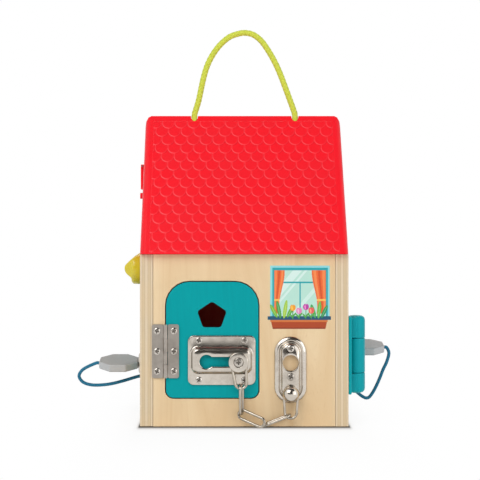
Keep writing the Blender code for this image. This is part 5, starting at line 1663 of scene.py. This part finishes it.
@dataclass
class SideDoors(Assembly):
    """Both side doors, the left one's steel hinge and the right one's moulded three-knuckle hinge.

    Attributes:
        wall: where the moulded hinge's axis stands.
        barrel: the knuckles' radius, in millimetres as all lengths here.
        spans: where each knuckle starts and ends.
        leaf_sides: how far from the axis a leaf starts and ends.
        end_round: the rounding of the hinge's two outer ends.
        seam_round: the rounding of the other ends.
    """

    wall: Place = Place((0.1059, -0.0625, 0.0), BACK, UP, RIGHT)
    barrel: float = 8.6
    spans: Profile = ((29.0, 48.0), (48.3, 80.7), (81.0, 102.0))
    leaf_sides: Pair = (9.0, 18.5)
    end_round: float = 5.2
    seam_round: float = 0.9

    def build(self) -> None:
        """Dress the doors and make the hinges."""
        for prefix in ("left", "right"):
            self.dress(f"{prefix}_door", Look.SIDE_PAINT, f"{prefix}_door_leaf", 0.45)
        self.dress("left_hinge_fixed", Look.STEEL, "house", 0.25)
        self.dress("left_hinge_door", Look.STEEL, "left_door_leaf", 0.25)
        self.finishes.keep(Look.STEEL, "left_hinge_pin", "right_hinge_pin")
        self.leaf("right_hinge_fixed", "house", -1, (0, 2), (-9.6, 3.0, 0.5, 0.9))
        self.leaf("right_hinge_door", "right_door_leaf", 1, (1,), (0.0, 9.6, -4.6, 0.5))

    def leaf(self, node: str, body: str, side: int, owned: tuple[int, ...], web: tuple[float, ...]) -> None:
        """Make one leaf of the moulded hinge with its knuckles joined into it.

        Args:
            node: the CAD node that it stands for.
            body: the body that it rides on.
            side: -1 for the leaf nearer the front, 1 for the other.
            owned: which knuckles belong to it.
            web: where the webs behind the knuckles start, end and reach out to, and their edges' radius.
        """
        bottom, top = self.spans[0][0], self.spans[-1][1]
        near, far = sorted(side * reach for reach in self.leaf_sides)
        sheet = eased_slab(f"{node}_leaf", (near, bottom, far, top), 3.0, -8.6, -5.6, 0.8, self.wall)
        self.finishes.give(sheet, Look.TEAL_MOULDING, body, (node,))
        near, far, front, ease = web
        for index in owned:
            low, high = self.spans[index]
            outer = (low == bottom, high == top)
            ends = [self.end_round if end else self.seam_round for end in outer]
            corners = [(0, low), (self.barrel, low), (self.barrel, high), (0, high)]
            knuckle = lathe(f"{node}_knuckle_{index + 1}", rounded_profile(corners, ends, 10), self.wall.origin, UP, 72)
            self.finishes.give(knuckle, Look.TEAL_MOULDING, body)
            foot, head = (1.8 if end else 0.3 for end in outer)
            joint = eased_slab(f"{node}_web_{index + 1}", (near, low + foot, far, high - head), 0.9, -8.55, front,
                               ease, self.wall)
            self.finishes.give(joint, Look.TEAL_MOULDING, body)


@dataclass
class TurnLatch(Assembly):
    """The lime turn latch above the left door: a thick disc, a rounded grip across it and a tongue behind.

    Attributes:
        wall: where the latch's middle lies on the wall.
        radius: the disc's radius, in millimetres as all lengths here.
        thickness: how far out its face lies.
        rim: the rounding of its edge.
        grip: how high the grip is over the wall at each place above and below the middle.
        chamfer: how high the disc may be at most at each place above the middle.
        grip_reach: how far to both sides the grip ends.
        grip_fade: over how much of its length it fades out.
    """

    wall: Place = Place((-BODY_HALF_WIDTH * MM, -0.0025, 0.1446), BACK, UP, (-1, 0, 0))
    radius: float = 15.6
    thickness: float = 13.4
    rim: float = 3.2
    grip: Profile = (
        (-10.5, 13.4), (-8.9, 13.6), (-7.6, 15.2), (-6.2, 16.9), (-4.3, 18.7), (-2.0, 19.6), (0.6, 20.0), (2.6, 19.6),
        (4.3, 18.5), (6.2, 16.6), (7.8, 15.0), (9.3, 13.6), (10.4, 13.4))
    chamfer: Profile = ((5.0, 30.0), (8.5, 14.4), (9.3, 13.2), (12.2, 9.8), (15.6, 5.2))
    grip_reach: float = 13.4
    grip_fade: float = 3.4

    def build(self) -> None:
        """Shape the disc with its grip, and the tongue."""
        self.finishes.give(self.disc(), Look.LIME_MOULDING, "latch", ("turn_latch",))
        tongue = eased_slab("turn_latch_tongue", (-2.0, -5.5, 24.0, 5.5), 5.2, 0.6, 4.6, 0.8, self.wall)
        self.finishes.give(tongue, Look.LIME_MOULDING, "latch")

    def disc(self) -> Object:
        """Shape the disc as heights over a circle.

        Out to the rim's start the face is level and then falls as a quarter circle. The grip is a ridge
        whose height over the face depends on the distance above its middle, and it fades out at both ends
        as a smooth step of the distance along it. Above the grip the face slopes straight back to the wall.
        """
        flat = np.linspace(0, 1 - self.rim / self.radius, 44)
        turn = np.linspace(0, QUARTER_TURN, 9)[1:]
        radius = np.concatenate([flat * self.radius, self.radius - self.rim * (1 - np.sin(turn))])
        level = np.concatenate([np.full(flat.shape, self.thickness),
                                self.thickness - self.rim * (1 - np.cos(turn))])
        sideways, up = (radius[:, None] * wave(circle(144)) for wave in (np.cos, np.sin))
        places, heights = np.array(self.grip).T
        ridge = sum(np.interp(up + nudge, places, heights) - self.thickness for nudge in (0, -0.7, 0.7))
        fade = eased(np.clip((self.grip_reach - np.abs(sideways)) / self.grip_fade, 0, 1))
        out = np.minimum(level[:, None] + ridge / 3 * fade, np.interp(up, *np.array(self.chamfer).T))
        back = np.zeros((1, up.shape[1]))
        sideways = np.vstack([sideways, sideways[-1:], back])
        up = np.vstack([up, up[-1:], back])
        out = np.vstack([out, back + 0.3, back + 0.3])
        points = self.wall.world(sideways, up, out)
        return closed_up(mesh_piece("turn_latch_grip", points, grid_faces(*out.shape, around=True).tolist()))


# The studio

@dataclass
class Studio:
    """Pale floor, soft lamps, dark cards that only metal shows, and the camera at the photograph's angle."""

    camera_place: Point = (-0.0188, -1.2325, 0.1817)
    lens: float = 92.75
    shift: Pair = (16 / 480, -9 / 480)
    aim: Point = (0, 0, 0.14)
    lamps: tuple = (("key", (-0.9, -1.5, 1.5), 1.3, 21.0), ("fill", (1.3, -1.4, 0.6), 1.4, 9.0),
                    ("back", (0.4, 1.4, 1.5), 1.2, 8.5))
    cards: tuple = (("dark_card_low", (0.1, -2.6, 0.26), (4.0, 0.28), 0.0),
                    ("dark_card_high", (0.25, -1.45, 2.3), (4.5, 4.44), 0.545))
    floor_radii: tuple[float, ...] = (0.0001, 0.6, 3.0, 14.0)
    floor_drop: float = 0.0002
    shadow_reach: float = 0.4
    sky_light: float = 0.42

    def build_camera(self) -> None:
        """Set the camera level, its frame shifted rather than tilted."""
        camera = bpy.data.objects.new("camera", bpy.data.cameras.new("camera"))
        bpy.context.scene.collection.objects.link(camera)
        camera.location = self.camera_place
        camera.rotation_euler = (math.radians(90), 0, 0)
        camera.data.lens = self.lens
        camera.data.sensor_width = 36
        camera.data.shift_x, camera.data.shift_y = self.shift
        bpy.context.scene.camera = camera

    def build(self) -> None:
        """Lay the floor, hang the lamps and the cards, and set the sky."""
        self.floor()
        for lamp in self.lamps:
            self.lamp(*lamp)
        for card in self.cards:
            self.card(*card)
        self.sky()
        bpy.context.scene.view_settings.view_transform = "Standard"

    def lamp(self, name: str, place: Point, size: float, power: float) -> None:
        """Hang a square soft lamp that faces the house."""
        lamp = bpy.data.objects.new(name, bpy.data.lights.new(name, "AREA"))
        bpy.context.scene.collection.objects.link(lamp)
        lamp.data.size = size
        lamp.data.energy = power
        lamp.location = place
        lamp.rotation_euler = (Vector(self.aim) - Vector(place)).to_track_quat("-Z", "Y").to_euler()

    def card(self, name: str, place: Point, size: Pair, lean: float) -> None:
        """Stand a dark card behind the camera, for metal to mirror, its top leaning towards the house."""
        side = np.array([size[0] / 2, 0, 0])
        up = np.array([0, math.sin(lean), math.cos(lean)]) * size[1] / 2
        points = np.array([-side - up, side - up, side + up, up - side]) + np.array(place)
        card = mesh_piece(name, points, [[3, 2, 1, 0]], smooth=False)
        surface = Surface(name)
        surface.set(Base_Color=tint(66, 63, 60), Roughness=1.0)
        card.data.materials.append(surface.material)
        card.visible_diffuse = False
        card.visible_shadow = False
        card.visible_camera = False

    def floor(self) -> None:
        """Lay a round floor: white paper that keeps the real shadow, with a painted contact shadow near the house, and
        fades to plain white.

        The distance from the house is sqrt((6 max(|x| - half width, 0))^2 + max(|y| - half depth, 0)^2), so the
        shadow, painted and real, stays in front of the house and behind it, and is narrow beside it.
        """
        angle = circle(96)
        radius = np.array(self.floor_radii)[:, None]
        x, y = radius * np.cos(angle), radius * np.sin(angle)
        points = np.stack([x, y, np.full(x.shape, -self.floor_drop)], axis=-1)
        floor = mesh_piece("studio_floor", points, grid_faces(*x.shape, around=True).tolist(), smooth=False)
        surface = Surface("studio_paper")
        parts = surface.parts(surface.place)
        away = []
        for part, half, weight in ((parts[0], BODY_HALF_WIDTH, 6.0), (parts[1], -FRONT_FACE, 1.0)):
            past = surface.sums("MAXIMUM", surface.minus(surface.size_of(part), half * MM), 0.0)
            away.append(surface.sums("POWER", surface.times(past, weight), 2.0))
        distance = surface.remap(surface.sums("SQRT", surface.plus(*away)), 0.0, self.shadow_reach)
        fibre = surface.blend(surface.noise(surface.place, 60.0, 2.0), tint(250, 250, 250), tint(253, 253, 253))
        # Painted contact shadow, darkest along the house's foot.
        painted_contact_shadow = surface.ramp(distance, [(0.0, tint(84, 82, 78)), (0.014, tint(120, 118, 114)),
                                          (0.03, tint(205, 204, 203)), (0.055, WHITE)])
        seen = surface.seen()
        # The painted contact shadow is shown only to rays that see the floor; light bouncing off it sees plain paper.
        paper = surface.blend(1.0, fibre, surface.blend(seen, WHITE, painted_contact_shadow), "MULTIPLY")
        surface.set(Base_Color=paper, Roughness=0.9, Specular_IOR_Level=0.1)
        plain_white = surface.ramp(distance, [(0.0, 0.0), (0.014, 0.03), (0.03, 0.5), (0.055, 0.8), (0.1, 0.9),
                                              (0.4, 0.97), (1.0, 1.0)])
        white = surface.put("Emission", {0: WHITE, 1: 1.0})
        mixed = surface.put("MixShader", {0: surface.times(seen, plain_white), 1: surface.shader.outputs[0],
                                          2: white.outputs[0]})
        surface.feed(surface.end.inputs, {0: mixed.outputs[0]})
        floor.data.materials.append(surface.material)

    def sky(self) -> None:
        """Set a plain white sky, full white where it is seen and softer as a light."""
        world = bpy.data.worlds.new("studio_sky")
        world.use_nodes = True
        nodes = Nodes(world.node_tree)
        nodes.tree.nodes.clear()
        strength = nodes.remap(nodes.seen(), 0.0, 1.0, self.sky_light, 1.0)
        light = nodes.put("Background", {0: WHITE, 1: strength})
        nodes.put("OutputWorld", {0: light.outputs[0]}).is_active_output = True
        bpy.context.scene.world = world


# Making the house

LEFT_CORD = (
    (0, 0.0460, 0.0505), (0, 0.0492, 0.0503), (-0.0030, 0.0600, 0.0452), (-0.0060, 0.0652, 0.0406),
    (-0.0085, 0.0668, 0.0356), (-0.0100, 0.0632, 0.0303), (-0.0105, 0.0560, 0.0276), (-0.0105, 0.0468, 0.0272),
    (-0.0105, 0.0355, 0.0284), (-0.0105, 0.0241, 0.0311), (-0.0105, 0.0164, 0.0334), (-0.0105, 0.0070, 0.0361),
    (-0.0105, 0.0023, 0.0364))
RIGHT_CORD = (
    (0, 0.0460, 0.0644), (0, 0.0486, 0.0639), (-0.0025, 0.0505, 0.0585), (-0.0050, 0.0480, 0.0501),
    (-0.0070, 0.0440, 0.0423), (-0.0070, 0.0410, 0.0346), (-0.0070, 0.0380, 0.0277), (-0.0070, 0.0344, 0.0207),
    (-0.0070, 0.0306, 0.0153), (-0.0070, 0.0275, 0.0139), (-0.0070, 0.0236, 0.0153), (-0.0070, 0.0180, 0.0196),
    (-0.0070, 0.0110, 0.0262), (-0.0070, 0.0062, 0.0295), (-0.0070, 0.0027, 0.0302))


def main() -> None:
    """Build the sub-assemblies in order."""
    logging.basicConfig(level=logging.INFO, format="%(name)s: %(message)s")
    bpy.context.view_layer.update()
    studio = Studio()
    studio.build_camera()
    finishes = Finishes()
    RopeHandle(finishes).build()
    SideLock(finishes, "left", (-0.097, -0.0025, 0.0505), -1.0, -1.0, LEFT_CORD).build()
    SideLock(finishes, "right", (0.097, 0.0175, 0.0644), 1.0, 1.0, RIGHT_CORD).build()
    for assembly in (WoodenBody, ScaledRoof, FrontDoor, PressedPlates, ChainAnchor, DoorChain, WindowPrint,
                     SideDoors, TurnLatch):
        assembly(finishes).build()
    studio.build()


if __name__ == "__main__":
    main()
